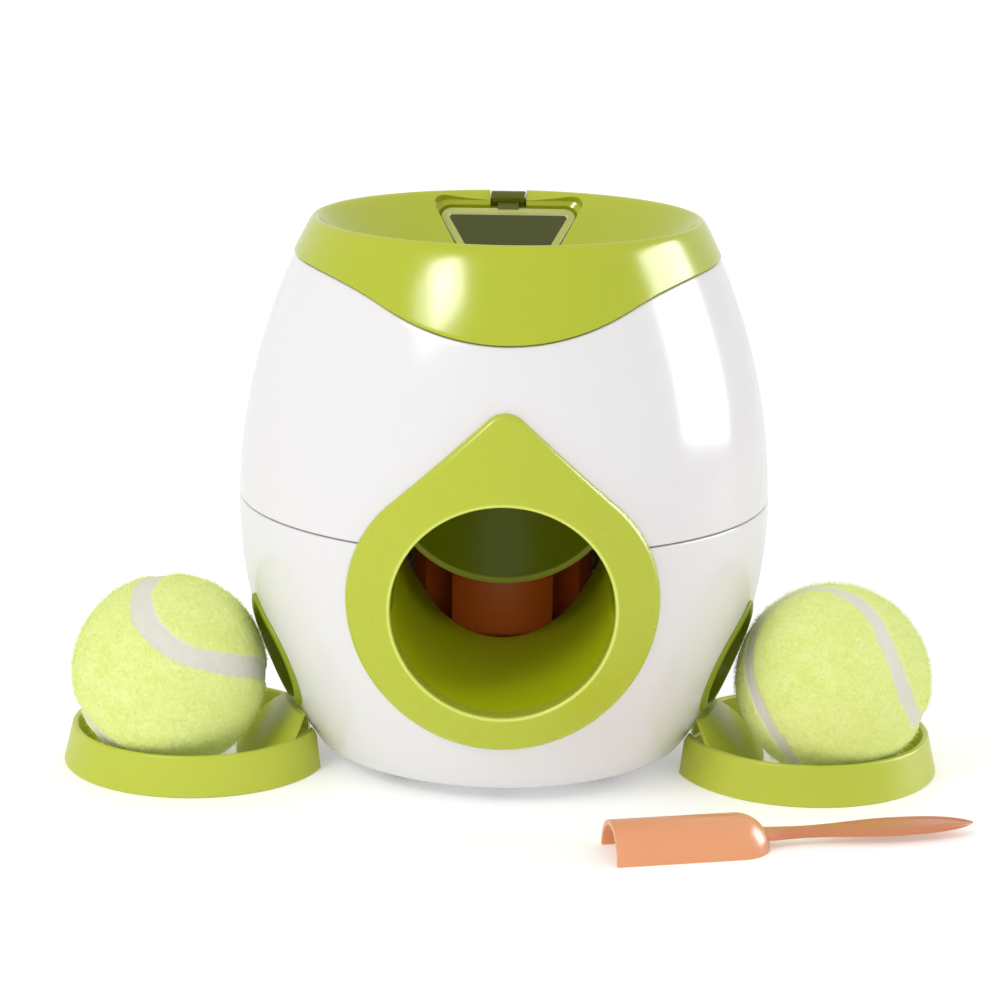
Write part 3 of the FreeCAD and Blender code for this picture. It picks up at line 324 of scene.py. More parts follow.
def holed(grid):
    """Cells of a barrel grid that stay: those outside the mouth's hole and both ports."""
    paired = (grid + np.roll(grid, -1, 0)) / 4
    x, y, z = np.moveaxis(paired[:, :-1] + paired[:, 1:], -1, 0)
    keep = (np.hypot(x, z - MOUTH_Z) > MOUTH_HOLE_R) | (y > 0)
    out_x, out_y = sin(radians(PORT_DEG)), -cos(radians(PORT_DEG))
    port = drop_outline(PORT_SIZE, PORT_HOLE_GROW)
    for side in (1, -1):
        across = -out_y * x * side + out_x * y
        facing = out_x * x * side + out_y * y > 0
        keep &= ~(within(port, across, z) & facing)
    return keep


def lip(length, count=5):
    """Quarter round at a wall's end: (distance short of the end, inset) pairs."""
    a = np.linspace(0, pi / 2, count)
    return length * (1 - np.sin(a)), length * (1 - np.cos(a))


bearings = np.linspace(0, 2 * pi, 360, endpoint=False)[:, None]
corner_r = BARREL_R - LOWER_ARC_R + sqrt((LOWER_ARC_R - BASE_ROUND) ** 2
                                         - (BASE_Z + BASE_ROUND - WAIST_Z) ** 2)
corner_z = BASE_Z + BASE_ROUND
lean = atan2(corner_z - WAIST_Z, corner_r - BARREL_R + LOWER_ARC_R)
end_z = PARTING_Z - PARTING_GAP / 2
short, inset = lip(LIP_R)
turn = np.linspace(-pi / 2, lean, 9)[:-1]
rise = np.linspace(corner_z + BASE_ROUND * sin(lean), end_z - LIP_R, 52)[:-1]
flat_r = np.linspace(BASE_OPENING_R, corner_r, 5)[:-1]
side_z = np.concatenate([rise, end_z - short])
side_in = np.concatenate([0 * rise, -inset])
profile_r = np.concatenate([flat_r, corner_r + BASE_ROUND * np.cos(turn),
                            barrel_radius(side_z, side_in)])
profile_z = np.concatenate([0 * flat_r + BASE_Z, corner_z + BASE_ROUND * np.sin(turn), side_z])
thin = BASE_ROUND - SHELL_WALL
back_r = np.concatenate([flat_r, corner_r + thin * np.cos(turn),
                         barrel_radius(side_z, -SHELL_WALL)])
back_z = np.concatenate([0 * flat_r + BASE_Z + SHELL_WALL, corner_z + thin * np.sin(turn), side_z])
outer = turned(bearings, profile_r, profile_z)
white = moulded("shell_white", srgb(*SHELL_WHITE), srgb(232, 230, 231), 0.13, grain=0.01,
                Specular_IOR_Level=0.4)
lower_half = new_piece("shell_lower_half",
                       walled(outer, turned(bearings, back_r, back_z), holed(outer), True), white)
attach(lower_half, "housing")
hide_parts("lower_shell")

# --- Upper half of the barrel ---------------------------------------------------------
# The same white moulding. It stands on the parting line, and steps in under the green
# skirt to a neck that carries the funnel.
SKIRT_FRONT_Z = 153.2
SKIRT_SIDE_Z = 170.3
SKIRT_DIP_R = 86.0
SKIRT_SHOULDER_R = 75.6
SKIRT_PROUD = 0.7
SKIRT_GAP = 0.5
NECK_IN = 1.9
NECK_WALL = 1.8
NECK_TOP_Z = 175.3


def skirt_edge(bearing):
    """Height of the skirt's edge: an arc that dips in front and at the back, a shoulder arc
    the other way, and level sides. The edge hangs over x, so x = radius * sin(bearing) is
    solved by stepping."""
    turn = acos(1 - (SKIRT_SIDE_Z - SKIRT_FRONT_Z) / (SKIRT_DIP_R + SKIRT_SHOULDER_R))
    bend_x = SKIRT_DIP_R * sin(turn)
    end_x = bend_x + SKIRT_SHOULDER_R * sin(turn)
    z = np.full(np.shape(bearing), SKIRT_SIDE_Z)
    for _ in range(12):
        x = np.abs(barrel_radius(z, SKIRT_PROUD) * np.sin(bearing))
        dip = SKIRT_FRONT_Z + SKIRT_DIP_R - np.sqrt(np.maximum(SKIRT_DIP_R ** 2 - x ** 2, 0))
        to_end = np.clip(end_x - x, 0, SKIRT_SHOULDER_R)
        shoulder = SKIRT_SIDE_Z - SKIRT_SHOULDER_R + np.sqrt(SKIRT_SHOULDER_R ** 2 - to_end ** 2)
        z = np.where(x < bend_x, dip, shoulder)
    return z


start_z = PARTING_Z + PARTING_GAP / 2
edge_z = skirt_edge(bearings) - SKIRT_GAP
t = np.linspace(0, 1, 48)
wall_z = (start_z + LIP_R) * (1 - t) + (edge_z - LIP_R) * t
neck_z = edge_z * (1 - t[::8]) + NECK_TOP_Z * t[::8]
side_z = np.concatenate([start_z + short[::-1] + 0 * edge_z, wall_z[:, 1:-1], edge_z - short,
                         neck_z], 1)
side_in = np.concatenate([-inset[::-1], 0 * t[1:-1], -inset, 0 * t[::8] - NECK_IN])
outer = turned(bearings, barrel_radius(side_z, side_in), side_z)
back_in = np.minimum(-SHELL_WALL, side_in - NECK_WALL)
inner = turned(bearings, barrel_radius(side_z, back_in), side_z)
upper_half = new_piece("shell_upper_half", walled(outer, inner, holed(outer), True), white)
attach(upper_half, "housing")
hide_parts("upper_shell")

# --- Green top ------------------------------------------------------------------------
# One lime moulding: skirt, rolled rim, slanting bowl and the collar of the throat. The
# recess of the treat hatch is sunk into the bowl's back slope, and a notch in the rim
# takes the hinge.
RIM_Z = 181.0
RIM_DROP = 5.5
RIM_TURN = 0.1
RIM_PULL = 8.5
RIM_CREST_Z = 183.7
RIM_R = 61.458
SKIRT_WALL = 2.4
BOWL_WALL = 2.2
THROAT_R = 35.5
THROAT_Y = -18.0
THROAT_Z = 148.0
THROAT_ROUND = 2.4
THROAT_FLARE = 0.35
THROAT_STEP = 0.5
COLLAR_LENGTH = 8.0
EDGE_R = 0.6
HATCH_TOP = 6.0
HATCH_LENGTH = 34.0
HATCH_HALF_TOP = 25.2
HATCH_HALF_FOOT = 10.6
HATCH_THICK = 2.0
HATCH_SUNK = 0.9
HATCH_CORNER_R = 4.0
SWING_ROOM = 0.9
RECESS_FLARE = 1.1
RECESS_UNDER = 0.35
FLARE_TOP = 0.1
HATCH_FRAME = 3.0
HATCH_LEDGE = 2.2
SHAFT_CORNER_R = 1.0
PAD_THICK = 6.0
PAD_SUNK = 0.3
PAD_OVER_KNEE = 2.0
HINGE_Y = 61.258
HINGE_Z = 179.6
KNUCKLE_HALF = 6.0
KNUCKLE_R = 2.4
NECK_HALF = 3.6
NECK_OVERLAP = 1.0
NOTCH_SILL = 0.3
NOTCH_GAP = 0.25
MOVE_GAP = 0.6
SOFT_EDGE = 0.35
SOFT_DEG = 40.0
TOP_SHARP_DEG = 30.0
LIME = (186, 196, 46)
LIME_DEEP = (179, 189, 40)


def slanting(grow, w):
    """Ruled surface of the bowl from the rim's circle, w = 0, to the throat's, w = 1, which
    stands forward: centre and radius both run straight from one to the other."""
    radius = (RIM_R + grow) * (1 - w) + (THROAT_R + grow) * w
    points = turned(bearings, radius, RIM_Z * (1 - w) + THROAT_Z * w)
    return points + np.array([0, THROAT_Y, 0]) * w[..., None]


def on_back_slope(points):
    """Turns points drawn flat onto the bowl's back slope: +Y climbs to the rim."""
    slope = atan2(RIM_Z - THROAT_Z, RIM_R - THROAT_R - THROAT_Y)
    x, y, z = np.moveaxis(points, -1, 0)
    return np.stack([x, RIM_R + y * cos(slope) - z * sin(slope),
                     RIM_Z + y * sin(slope) + z * cos(slope)], -1)


def hatch_outline(grow, corner, top_room=0.0):
    """Trapezoid with round corners, wide side up: at each corner, the arc of the corner
    radius that touches both sides."""
    top, foot = -HATCH_TOP + grow + top_room, -HATCH_TOP - HATCH_LENGTH - grow
    taper = (HATCH_HALF_TOP - HATCH_HALF_FOOT) / HATCH_LENGTH
    wide = HATCH_HALF_TOP + grow + taper * (grow + top_room)
    narrow = HATCH_HALF_FOOT + grow - taper * grow
    corners = np.array([(-narrow, foot), (narrow, foot), (wide, top), (-wide, top)])
    before, after = np.roll(corners, 1, 0) - corners, np.roll(corners, -1, 0) - corners
    before /= np.linalg.norm(before, axis=1, keepdims=True)
    after /= np.linalg.norm(after, axis=1, keepdims=True)
    middle = before + after
    middle /= np.linalg.norm(middle, axis=1, keepdims=True)
    half = np.arccos((before * after).sum(1)) / 2
    centre = corners + middle * (corner / np.sin(half))[:, None]
    start = np.arctan2(-middle[:, 1], -middle[:, 0]) - (pi / 2 - half)
    a = start[:, None] + np.linspace(0, 1, 9) * (pi - 2 * half)[:, None]
    arcs = centre[:, None] + corner * np.stack([np.cos(a), np.sin(a)], -1)
    return arcs.reshape(-1, 2)


def raised(outline, *rows):
    """Closed prism with rows of (outline or inset outline, height), bottom first."""
    grid = np.stack([np.concatenate([line, np.full((len(line), 1), z)], -1)
                     for line, z in ((row[0] if len(row) > 1 else outline, row[-1])
                                     for row in rows)])
    return looped(grid, wrap_rows=False)


def boxed(low, high):
    """Closed box between two corners."""
    (x0, y0, z0), (x1, y1, z1) = low, high
    outline = np.array([(x0, y0), (x1, y0), (x1, y1), (x0, y1)], float)
    return raised(outline, (z0,), (z1,))


def carve(piece, operation, body):
    """Joins a body to a piece or cuts it away, and keeps only the result."""
    tool = new_piece("tool", body, piece.data.materials[0])
    change = piece.modifiers.new("carve", "BOOLEAN")
    change.operation, change.solver, change.object = operation, "EXACT", tool
    result = bpy.data.meshes.new_from_object(
        piece.evaluated_get(bpy.context.evaluated_depsgraph_get()))
    piece.modifiers.clear()
    piece.data = result
    bpy.data.objects.remove(tool)


lime = moulded("lime_gloss", srgb(*LIME), srgb(*LIME_DEEP), 0.15, grain=0.012,
               Specular_IOR_Level=0.38, Subsurface_Weight=0.04)
edge_z = skirt_edge(bearings)
short, inset = lip(EDGE_R)

# At each bearing the rim rolls from the side to the bowl along a cubic curve, whose two
# handles are a stretch of the side and a stretch of the bowl's slope drawn on upwards.
t = np.linspace(0, 1, 26)
knee_z = RIM_Z - RIM_DROP
skirt_z = (edge_z + EDGE_R) * (1 - t) + knee_z * t
low_z = edge_z + short[::-1]
w = RIM_TURN + (1 - RIM_TURN) * np.linspace(0, 1, 28)
bowl = slanting(0.0, w[:-1])
knee = turned(bearings, barrel_radius(knee_z + np.array([0.0, 1.0]), SKIRT_PROUD),
              knee_z + np.array([0.0, 1.0]))
down = bowl[:, 1] - bowl[:, 0]
pulled = bowl[:, 0] + down * ((RIM_CREST_Z - bowl[:, 0, 2]) / down[:, 2])[:, None]
bends = (knee[:, 0], knee[:, 0] + RIM_PULL * (knee[:, 1] - knee[:, 0]), pulled, bowl[:, 0])
v = np.linspace(0, 1, 19)[1:-1, None, None]
crest = sum(share * part for share, part in zip(
    ((1 - v) ** 3, 3 * (1 - v) ** 2 * v, 3 * (1 - v) * v ** 2, v ** 3), bends))
crest = crest.transpose(1, 0, 2)
roll = np.linspace(0, 1, 7)
throat_r = THROAT_R + THROAT_ROUND * (1 - np.sin(roll * pi / 2)) * THROAT_FLARE
throat_z = THROAT_Z + THROAT_STEP - THROAT_ROUND * (1 - np.cos(roll * pi / 2))
collar = turned(bearings, np.append(throat_r, [THROAT_R, THROAT_R + BOWL_WALL]),
                np.append(throat_z, [THROAT_Z - COLLAR_LENGTH] * 2)) + [0, THROAT_Y, 0]
under = slanting(BOWL_WALL, np.linspace(1, RIM_DROP / (RIM_Z - THROAT_Z), 26)[1:])
inside_z = knee_z * (1 - t[::5]) + edge_z * t[::5]
green_top = new_piece("green_top", looped(np.concatenate([
    turned(bearings, barrel_radius(low_z, SKIRT_PROUD - inset[::-1]), low_z),
    turned(bearings, barrel_radius(skirt_z[:, 1:], SKIRT_PROUD), skirt_z[:, 1:]),
    crest, bowl, collar, under,
    turned(bearings, barrel_radius(inside_z, SKIRT_PROUD - SKIRT_WALL), inside_z)], 1)), lime)

# A pad thickens the bowl's wall round the recess. What would stand above the bowl or in
# the rim's roll is cut off it, and it is joined to the moulding.
frame_line = hatch_outline(HATCH_FRAME, HATCH_CORNER_R + HATCH_FRAME)
pad_points, pad_faces = raised(frame_line, (-PAD_THICK,), (2 * PAD_THICK,))
pad = new_piece("pad", (on_back_slope(pad_points), pad_faces), lime)
high = 4 * PAD_THICK
lid_z = RIM_Z + high
above = np.concatenate([turned(bearings, RIM_R + PAD_SUNK, np.array([lid_z])),
                        slanting(PAD_SUNK, np.array([0.0, 1.0]))], 1)
carve(pad, "DIFFERENCE", looped(above.transpose(1, 0, 2), wrap_rows=False))
carve(pad, "DIFFERENCE", boxed((-BARREL_R, 0, knee_z + PAD_OVER_KNEE),
                               (BARREL_R, BARREL_R, lid_z)))
pad_points = np.array([corner.co for corner in pad.data.vertices]) / MM
pad_faces = [list(face.vertices) for face in pad.data.polygons]
bpy.data.objects.remove(pad)
carve(green_top, "UNION", (pad_points, pad_faces))

# The recess with its flared edge, the shaft under it, the way of the hatch's neck and the
# notch of the knuckle are cut out in turn. The notch stays low-walled at the back.
sunk = -HATCH_SUNK - HATCH_THICK - RECESS_UNDER
recess = hatch_outline(MOVE_GAP, HATCH_CORNER_R + MOVE_GAP, SWING_ROOM)
flared = hatch_outline(MOVE_GAP + RECESS_FLARE, HATCH_CORNER_R + MOVE_GAP, SWING_ROOM)
recess = raised(recess, (sunk,), (-RECESS_FLARE,), (flared, FLARE_TOP), (flared, high))
shaft = raised(hatch_outline(-HATCH_LEDGE, SHAFT_CORNER_R), (-3 * PAD_THICK,), (0.0,))
half = NECK_HALF + MOVE_GAP
neck_way = boxed((-half, -HATCH_TOP - NECK_OVERLAP, sunk), (half, KNUCKLE_R - 1, high))
for points, faces in (recess, shaft, neck_way):
    carve(green_top, "DIFFERENCE", (on_back_slope(points), faces))
reach = KNUCKLE_R + MOVE_GAP
half = KNUCKLE_HALF + NOTCH_GAP
carve(green_top, "DIFFERENCE", boxed((-half, RIM_R - HATCH_TOP, HINGE_Z - reach),
                                     (half, HINGE_Y + reach, lid_z)))
carve(green_top, "DIFFERENCE", boxed((-half, HINGE_Y, HINGE_Z + NOTCH_SILL),
                                     (half, BARREL_R, lid_z)))
green_top.data.shade_smooth()
green_top.data.set_sharp_from_angle(angle=radians(TOP_SHARP_DEG))
soften = green_top.modifiers.new("soften", "BEVEL")
soften.width, soften.segments, soften.angle_limit = SOFT_EDGE * MM, 2, radians(SOFT_DEG)
soften.limit_method, soften.harden_normals = "ANGLE", False
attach(green_top, "housing")
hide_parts("top_funnel")

# --- Treat hatch ----------------------------------------------------------------------
# Smoke-tinted clear lid. Its thin margin lies on the recess's ledge and looks pale over it,
# a small bevelled step leads down to the middle, and a neck joins it to the
# barrel-shaped knuckle at the rim. The bevels are painted near white, a painted highlight,
# and the middle dark olive, painted shade of the hollow under the lid. Its face is left bare.
BEVEL = 0.5
HATCH_MARGIN = 3.0
HATCH_STEP = 0.55
STEP_WIDTH = 0.3
STEP_EDGE = 0.1
TINT_CHANGE = 0.05
PANEL_CORNER_R = 1.2
KNUCKLE_RINGS = ((-1.0, 0.5), (-1.0, 0.86), (-0.93, 1.0), (0.93, 1.0), (1.0, 0.86), (1.0, 0.5))
MARGIN_TINT = srgb(226, 232, 126)
# Painted highlight on the lid's bevels.
BEVEL_PAINTED_HIGHLIGHT = srgb(255, 254, 232)
# Painted shade: the dark hollow under the lid's middle.
MIDDLE_PAINTED_SHADE = srgb(84, 90, 14)
KNUCKLE_TINT = srgb(112, 116, 20)

smoke, shader, place = new_finish("smoky_clear", IOR=1.46, Transmission_Weight=0.3,
                                  Specular_IOR_Level=0.3)
cloud = place.noise(60.0, 3.0)
fine_scuff = place.noise(1400.0, 4.0, 0.7).step(0.62, 0.8)
plug(shader, Base_Color=place.mark("tint", 0).shaded(srgb(216, 214, 206), cloud * 0.5),
     Roughness=0.06 + cloud * 0.05 + fine_scuff * 0.12,
     Normal=place.noise(300.0, 2.0).bump(0.02, 0.0005))
low, top = -HATCH_SUNK - HATCH_THICK, -HATCH_SUNK

# Rows of the lid from its back to the middle of its face: (inset, height, colour).
rows = ((0.0, low, MARGIN_TINT), (0.0, top - BEVEL, MARGIN_TINT),
        (0.3 * BEVEL, top - 0.35 * BEVEL, BEVEL_PAINTED_HIGHLIGHT), (BEVEL, top, BEVEL_PAINTED_HIGHLIGHT),
        (1.2 * BEVEL, top, MARGIN_TINT),
        (HATCH_MARGIN - STEP_WIDTH - TINT_CHANGE, top, MARGIN_TINT),
        (HATCH_MARGIN - STEP_WIDTH, top - STEP_EDGE, BEVEL_PAINTED_HIGHLIGHT),
        (HATCH_MARGIN, top - HATCH_STEP, BEVEL_PAINTED_HIGHLIGHT),
        (HATCH_MARGIN + TINT_CHANGE, top - HATCH_STEP, MIDDLE_PAINTED_SHADE))
panel, panel_faces = raised(None, *[
    (hatch_outline(-inset, max(HATCH_CORNER_R - inset, PANEL_CORNER_R)), z)
    for inset, z, tint in rows])

# The knuckle swells from its small ends to its middle. Each of its rings is given by a
# share of its half length and a share of its radius.
neck, neck_faces = boxed((-NECK_HALF, -HATCH_TOP - NECK_OVERLAP, low), (NECK_HALF, -1.0, top))
a = np.linspace(0, 2 * pi, 40, endpoint=False)
shares = np.array(KNUCKLE_RINGS)
across, radius = KNUCKLE_HALF * shares[:, :1], KNUCKLE_R * shares[:, 1:]
knuckle = np.stack([across + 0 * a, HINGE_Y + radius * np.cos(a),
                    HINGE_Z + radius * np.sin(a)], -1)
body = joined((on_back_slope(panel), panel_faces), (on_back_slope(neck), neck_faces),
              looped(knuckle, wrap_rows=False))
tints = np.repeat([tint for inset, z, tint in rows], len(panel) // len(rows), axis=0)
tints = np.concatenate([tints, [KNUCKLE_TINT] * (len(body[0]) - len(tints))])
hatch = new_piece("hatch_lid", body, smoke, 20, tint=tints)
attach(hatch, "hatch")
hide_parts("hatch_door")

# --- Frame of the mouth ---------------------------------------------------------------
# Lime teardrop that stands proud of the white wall and follows its curve. It is one
# moulding with the round sleeve that leads the ball out.
DROP_SIZE = (49.3, 43.6, 72.0, 8.0, 133.5)
FRAME_PROUD = 2.4
FRAME_ROUND = 1.5
FRAME_SEAT = 0.05
MOUTH_R = 35.0
MOUTH_ROUND = 1.3
SLEEVE_WALL = 2.2
SLEEVE_END_Y = -73.0
LIP_PAINTED_HIGHLIGHT = (0.7, 1.0, 0.8, 0.3)


def on_barrel(across, up, out, bearing=0.0):
    """Points at a distance across and a height on the barrel's side, offset outwards, for a
    viewer at a bearing: the distance out is root(radius^2 - across^2)."""
    reach = np.sqrt(barrel_radius(up, out) ** 2 - across ** 2)
    return np.stack([reach * sin(bearing) + across * cos(bearing),
                     -reach * cos(bearing) + across * sin(bearing), up + 0 * across], -1)


drop = drop_outline(DROP_SIZE, 0.0)
angle = np.arctan2(drop[:, 0], drop[:, 1] - MOUTH_Z)


def mouth_ring(radius):
    """Circle of the mouth, point for point with the teardrop."""
    return np.stack([radius * np.sin(angle), MOUTH_Z + radius * np.cos(angle)], -1)


def mouth_ring_at(radius, y):
    """The same circle as points at a depth."""
    ring = mouth_ring(radius)
    return np.stack([ring[:, 0], np.full(len(ring), y), ring[:, 1]], -1)


a = np.linspace(0, pi / 2, 7)
rows = [on_barrel(*drop.T, FRAME_SEAT)]
rows += [on_barrel(*drop_outline(DROP_SIZE, -FRAME_ROUND * (1 - cos(v))).T,
                   FRAME_PROUD - FRAME_ROUND * (1 - sin(v))) for v in a]
face_edge = drop_outline(DROP_SIZE, -FRAME_ROUND)
hole_edge = mouth_ring(MOUTH_R + MOUTH_ROUND)
rows += [on_barrel(*(face_edge * (1 - t) + hole_edge * t).T, FRAME_PROUD)
         for t in np.linspace(0, 1, 14)[1:]]
lip_row = len(rows)
rows += [on_barrel(*mouth_ring(MOUTH_R + MOUTH_ROUND * (1 - sin(v))).T,
                   FRAME_PROUD - MOUTH_ROUND * (1 - cos(v))) for v in a[1:]]
front = rows[-1]
rows += [front * (1 - t) + mouth_ring_at(MOUTH_R, SLEEVE_END_Y) * t
         for t in (0.25, 0.5, 0.75, 1.0)]
rows += [mouth_ring_at(MOUTH_R + SLEEVE_WALL, SLEEVE_END_Y),
         on_barrel(*mouth_ring(MOUTH_R + SLEEVE_WALL).T, FRAME_SEAT)]
# The pale edge colour is a painted highlight on the mouth's round lip.
frame_lime = moulded("frame_lime", srgb(193, 202, 60), srgb(186, 195, 54), 0.24, grain=0.014,
                     edge=srgb(226, 236, 120), Specular_IOR_Level=0.38, Subsurface_Weight=0.04)
# The rows of the round lip take the edge colour by these shares: a painted highlight along the
# lip.
thin = np.zeros(len(rows))
thin[lip_row:lip_row + len(LIP_PAINTED_HIGHLIGHT)] = LIP_PAINTED_HIGHLIGHT
thin = np.tile(thin, len(drop))
mouth_frame = new_piece("mouth_frame", looped(np.stack(rows, 1)), frame_lime, thin=thin)
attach(mouth_frame, "housing")
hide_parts("front_bezel")

# --- Drop tube ------------------------------------------------------------------------
# Darker green tube that leans forward from the throat's collar and is cut off at a slant,
# so that the ball leaves it to the front. Its wall is full for most of its length and
# thinned at the edge, whose last rows are painted paler: a painted highlight on the cut edge.
TUBE_FOOT_Y = -31.8
TONGUE_Z = 57.4
TUBE_WALL = 2.2
TUBE_CUT_DEG = 52.0
TUBE_GAP = 0.2
TUBE_SHORTEST = 2.4
TUBE_ROWS = 38
TUBE_FULL_TO = 0.987
TUBE_EDGE = ((0.993, 0.8), (1.0, 0.35))

# The pale edge colour is a painted highlight on the tube's cut edge.
tube_green = moulded("tube_green", srgb(126, 136, 8), srgb(112, 122, 6), 0.3, grain=0.016,
                     edge=srgb(196, 200, 96), Specular_IOR_Level=0.25)
tube_top = THROAT_Z - COLLAR_LENGTH - TUBE_GAP
run = (TUBE_FOOT_Y - THROAT_Y) / (TONGUE_Z - tube_top)
climb = tan(radians(TUBE_CUT_DEG))


def leaning(radius, t):
    """Tube about an axis that leans forward, from its top, t = 0, down to a slanting plane,
    t = 1, both reached along straight lines at each bearing."""
    y_top = THROAT_Y - radius * np.cos(bearings)
    back_y = TUBE_FOOT_Y + THROAT_R
    cut_z = (TONGUE_Z + climb * (back_y - y_top + run * tube_top)) / (1 + climb * run)
    z = tube_top * (1 - t) + np.minimum(cut_z, tube_top - TUBE_SHORTEST) * t
    y = y_top + run * (z - tube_top)
    return np.stack([radius * np.sin(bearings) + 0 * z, y, z], -1)


t = np.append(np.linspace(0, TUBE_FULL_TO, TUBE_ROWS), [along for along, share in TUBE_EDGE])
half = np.append(np.ones(TUBE_ROWS), [share for along, share in TUBE_EDGE]) * TUBE_WALL / 2
middle = THROAT_R + TUBE_WALL / 2
# The last two rows take the edge colour: painted highlight along the cut edge.
thin = np.tile(np.append(np.zeros(TUBE_ROWS), [1.0, 1.0]), 2 * len(bearings))
tube_body = walled(leaning(middle + half, t), leaning(middle - half, t), wrap_rows=True)
tube = new_piece("ball_tube", tube_body, tube_green, thin=thin)
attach(tube, "housing")
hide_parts("drop_tube")

# --- Ball channel ---------------------------------------------------------------------
# Round-bottomed lime channel that falls a little to the mouth, hollowed at its rear end
# for the drum. It stands on three round legs.
TROUGH_R = 35.2
TROUGH_WALL = 2.2
TROUGH_TOP_Z = 66.0
TROUGH_RISE_DEG = 0.6
TROUGH_LEGS = ((18.0, -30.0), (-18.0, -30.0), (0.0, 3.0))
LEG_R = 4.0
LEG_SHORT = 1.2
CHANNEL_GAP = 0.2
PLATE_TOP_Z = 7.6
DRUM_R = 31.5
DRUM_Y = 39.2


def channel(radius, count=90, length=48):
    """Part of a cylinder along Y, from edge to edge by angle, from the mouth's sleeve back
    to the circle that clears the drum."""
    start_y = SLEEVE_END_Y + CHANNEL_GAP
    axis_z = MOUTH_Z - MOUTH_R + TROUGH_R
    edge = asin((axis_z - TROUGH_TOP_Z) / radius)
    a = np.linspace(-pi / 2 + edge, pi / 2 - edge, count)[:, None]
    x = radius * np.sin(a)
    clear = DRUM_R + MOVE_GAP
    end_y = DRUM_Y - np.sqrt(np.maximum(clear ** 2 - x ** 2, 0))
    end_y = np.minimum(end_y, DRUM_Y - DRUM_R / 2)
    y = start_y + (end_y - start_y) * np.linspace(0, 1, length)
    z = axis_z - radius * np.cos(a) + (y - start_y) * tan(radians(TROUGH_RISE_DEG))
    return np.stack([x + 0 * y, y, z], -1)


def post(x, y, radius, low, high):
    """Closed round post."""
    a = np.linspace(0, 2 * pi, 32, endpoint=False)
    ring = np.stack([x + radius * np.cos(a), y + radius * np.sin(a)], -1)
    return raised(ring, (low,), (high,))


leg_top = MOUTH_Z - MOUTH_R - LEG_SHORT
legs = [post(x, y, LEG_R, PLATE_TOP_Z, leg_top + x * x / 2 / TROUGH_R)
        for x, y in TROUGH_LEGS]
channel_lime = moulded("channel_lime", srgb(198, 212, 12), srgb(188, 202, 10), 0.3, grain=0.016,
                       Specular_IOR_Level=0.3)
gutter = walled(channel(TROUGH_R + TROUGH_WALL), channel(TROUGH_R))
trough = new_piece("ball_channel", joined(gutter, *legs), channel_lime)
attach(trough, "housing")
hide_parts("ball_trough")

# --- Treat drum -----------------------------------------------------------------------
# Brown-orange drum that turns on a post behind the channel, with four open pockets that
# carry treats round. Its lower edge is rounded.
DRUM_LOW_Z = 35.2
DRUM_TOP_Z = 65.0
DRUM_ROUND = 3.0
POCKET_WIDTH = 13.0
POCKET_FLOOR_R = 15.0
DRUM_BORE_R = 3.08
DRUM_EDGE = ((0.0, 0.8), (0.2, 0.25), (0.8, 0.0))


def drum_outline(grow):
    """Circle with four U-shaped pockets at 45 degrees: an arc of the rim, then straight in,
    half round and straight out, repeated."""
    r, half = DRUM_R + grow, POCKET_WIDTH / 2 - grow
    edge = asin(half / r)
    floor = POCKET_FLOOR_R + POCKET_WIDTH / 2
    parts = []
    for k in range(4):
        axis = pi / 4 + k * pi / 2
        a = np.linspace(-pi / 2 + edge, -edge, 24)
        parts.append(np.stack([r * np.cos(axis + a), r * np.sin(axis + a)], -1))
        u = np.linspace(-pi / 2, -3 * pi / 2, 17)
        way = np.stack([floor + half * np.cos(u), half * np.sin(u)], -1)
        turned_way = way @ np.array([[cos(axis), sin(axis)], [-sin(axis), cos(axis)]])
        parts.append(turned_way)
    return np.concatenate(parts) + [0, DRUM_Y]


orange = moulded("drum_orange", srgb(222, 104, 40), srgb(208, 92, 34), 0.34, grain=0.014,
                 Specular_IOR_Level=0.3)
a = np.linspace(0, pi / 2, 7)
rows = [(drum_outline(-DRUM_ROUND * (1 - sin(v))), DRUM_LOW_Z + DRUM_ROUND * (1 - cos(v)))
        for v in a]
rows += [(drum_outline(-inset), DRUM_TOP_Z - short) for inset, short in DRUM_EDGE]
drum = new_piece("treat_drum", raised(rows[0][0], *rows), orange)
carve(drum, "DIFFERENCE", post(0, DRUM_Y, DRUM_BORE_R, 0, 2 * DRUM_TOP_Z))
drum.data.shade_smooth()
drum.data.set_sharp_from_angle(angle=radians(SHARP_DEG))
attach(drum, "rotor")
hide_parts("treat_rotor")

# --- Port frames ----------------------------------------------------------------------
# Lime teardrop frames low on both sides, with a short sleeve through the wall. The left
# one is the mirror image of the right one. Their lime is painted darker than the other
# lime mouldings: painted shade for the crevice between ball and barrel.
PORT_LIP = 3.0
PORT_PROUD = 1.0
PORT_SLEEVE = 1.8
PORT_EDGE = 0.7
PORT_INSIDE = -7.8

# Darker lime than the other frames: painted shade.
port_lime_painted_shade = moulded("port_lime_painted_shade", srgb(150, 166, 28), srgb(138, 154, 24), 0.3, grain=0.014,
                     Specular_IOR_Level=0.3)
bearing = radians(PORT_DEG)
a = np.linspace(0, pi / 2, 6)
rows = [on_barrel(*drop_outline(PORT_SIZE, 0).T, FRAME_SEAT, bearing)]
rows += [on_barrel(*drop_outline(PORT_SIZE, -PORT_EDGE * (1 - cos(v))).T,
                   PORT_PROUD - PORT_EDGE * (1 - sin(v)), bearing) for v in a]
rows += [on_barrel(*drop_outline(PORT_SIZE, -PORT_LIP + PORT_EDGE * (1 - sin(v))).T,
                   PORT_PROUD - PORT_EDGE * (1 - cos(v)), bearing) for v in a]
rows += [on_barrel(*drop_outline(PORT_SIZE, -PORT_LIP).T, PORT_INSIDE * t, bearing)
         for t in (0.3, 0.65, 1.0)]
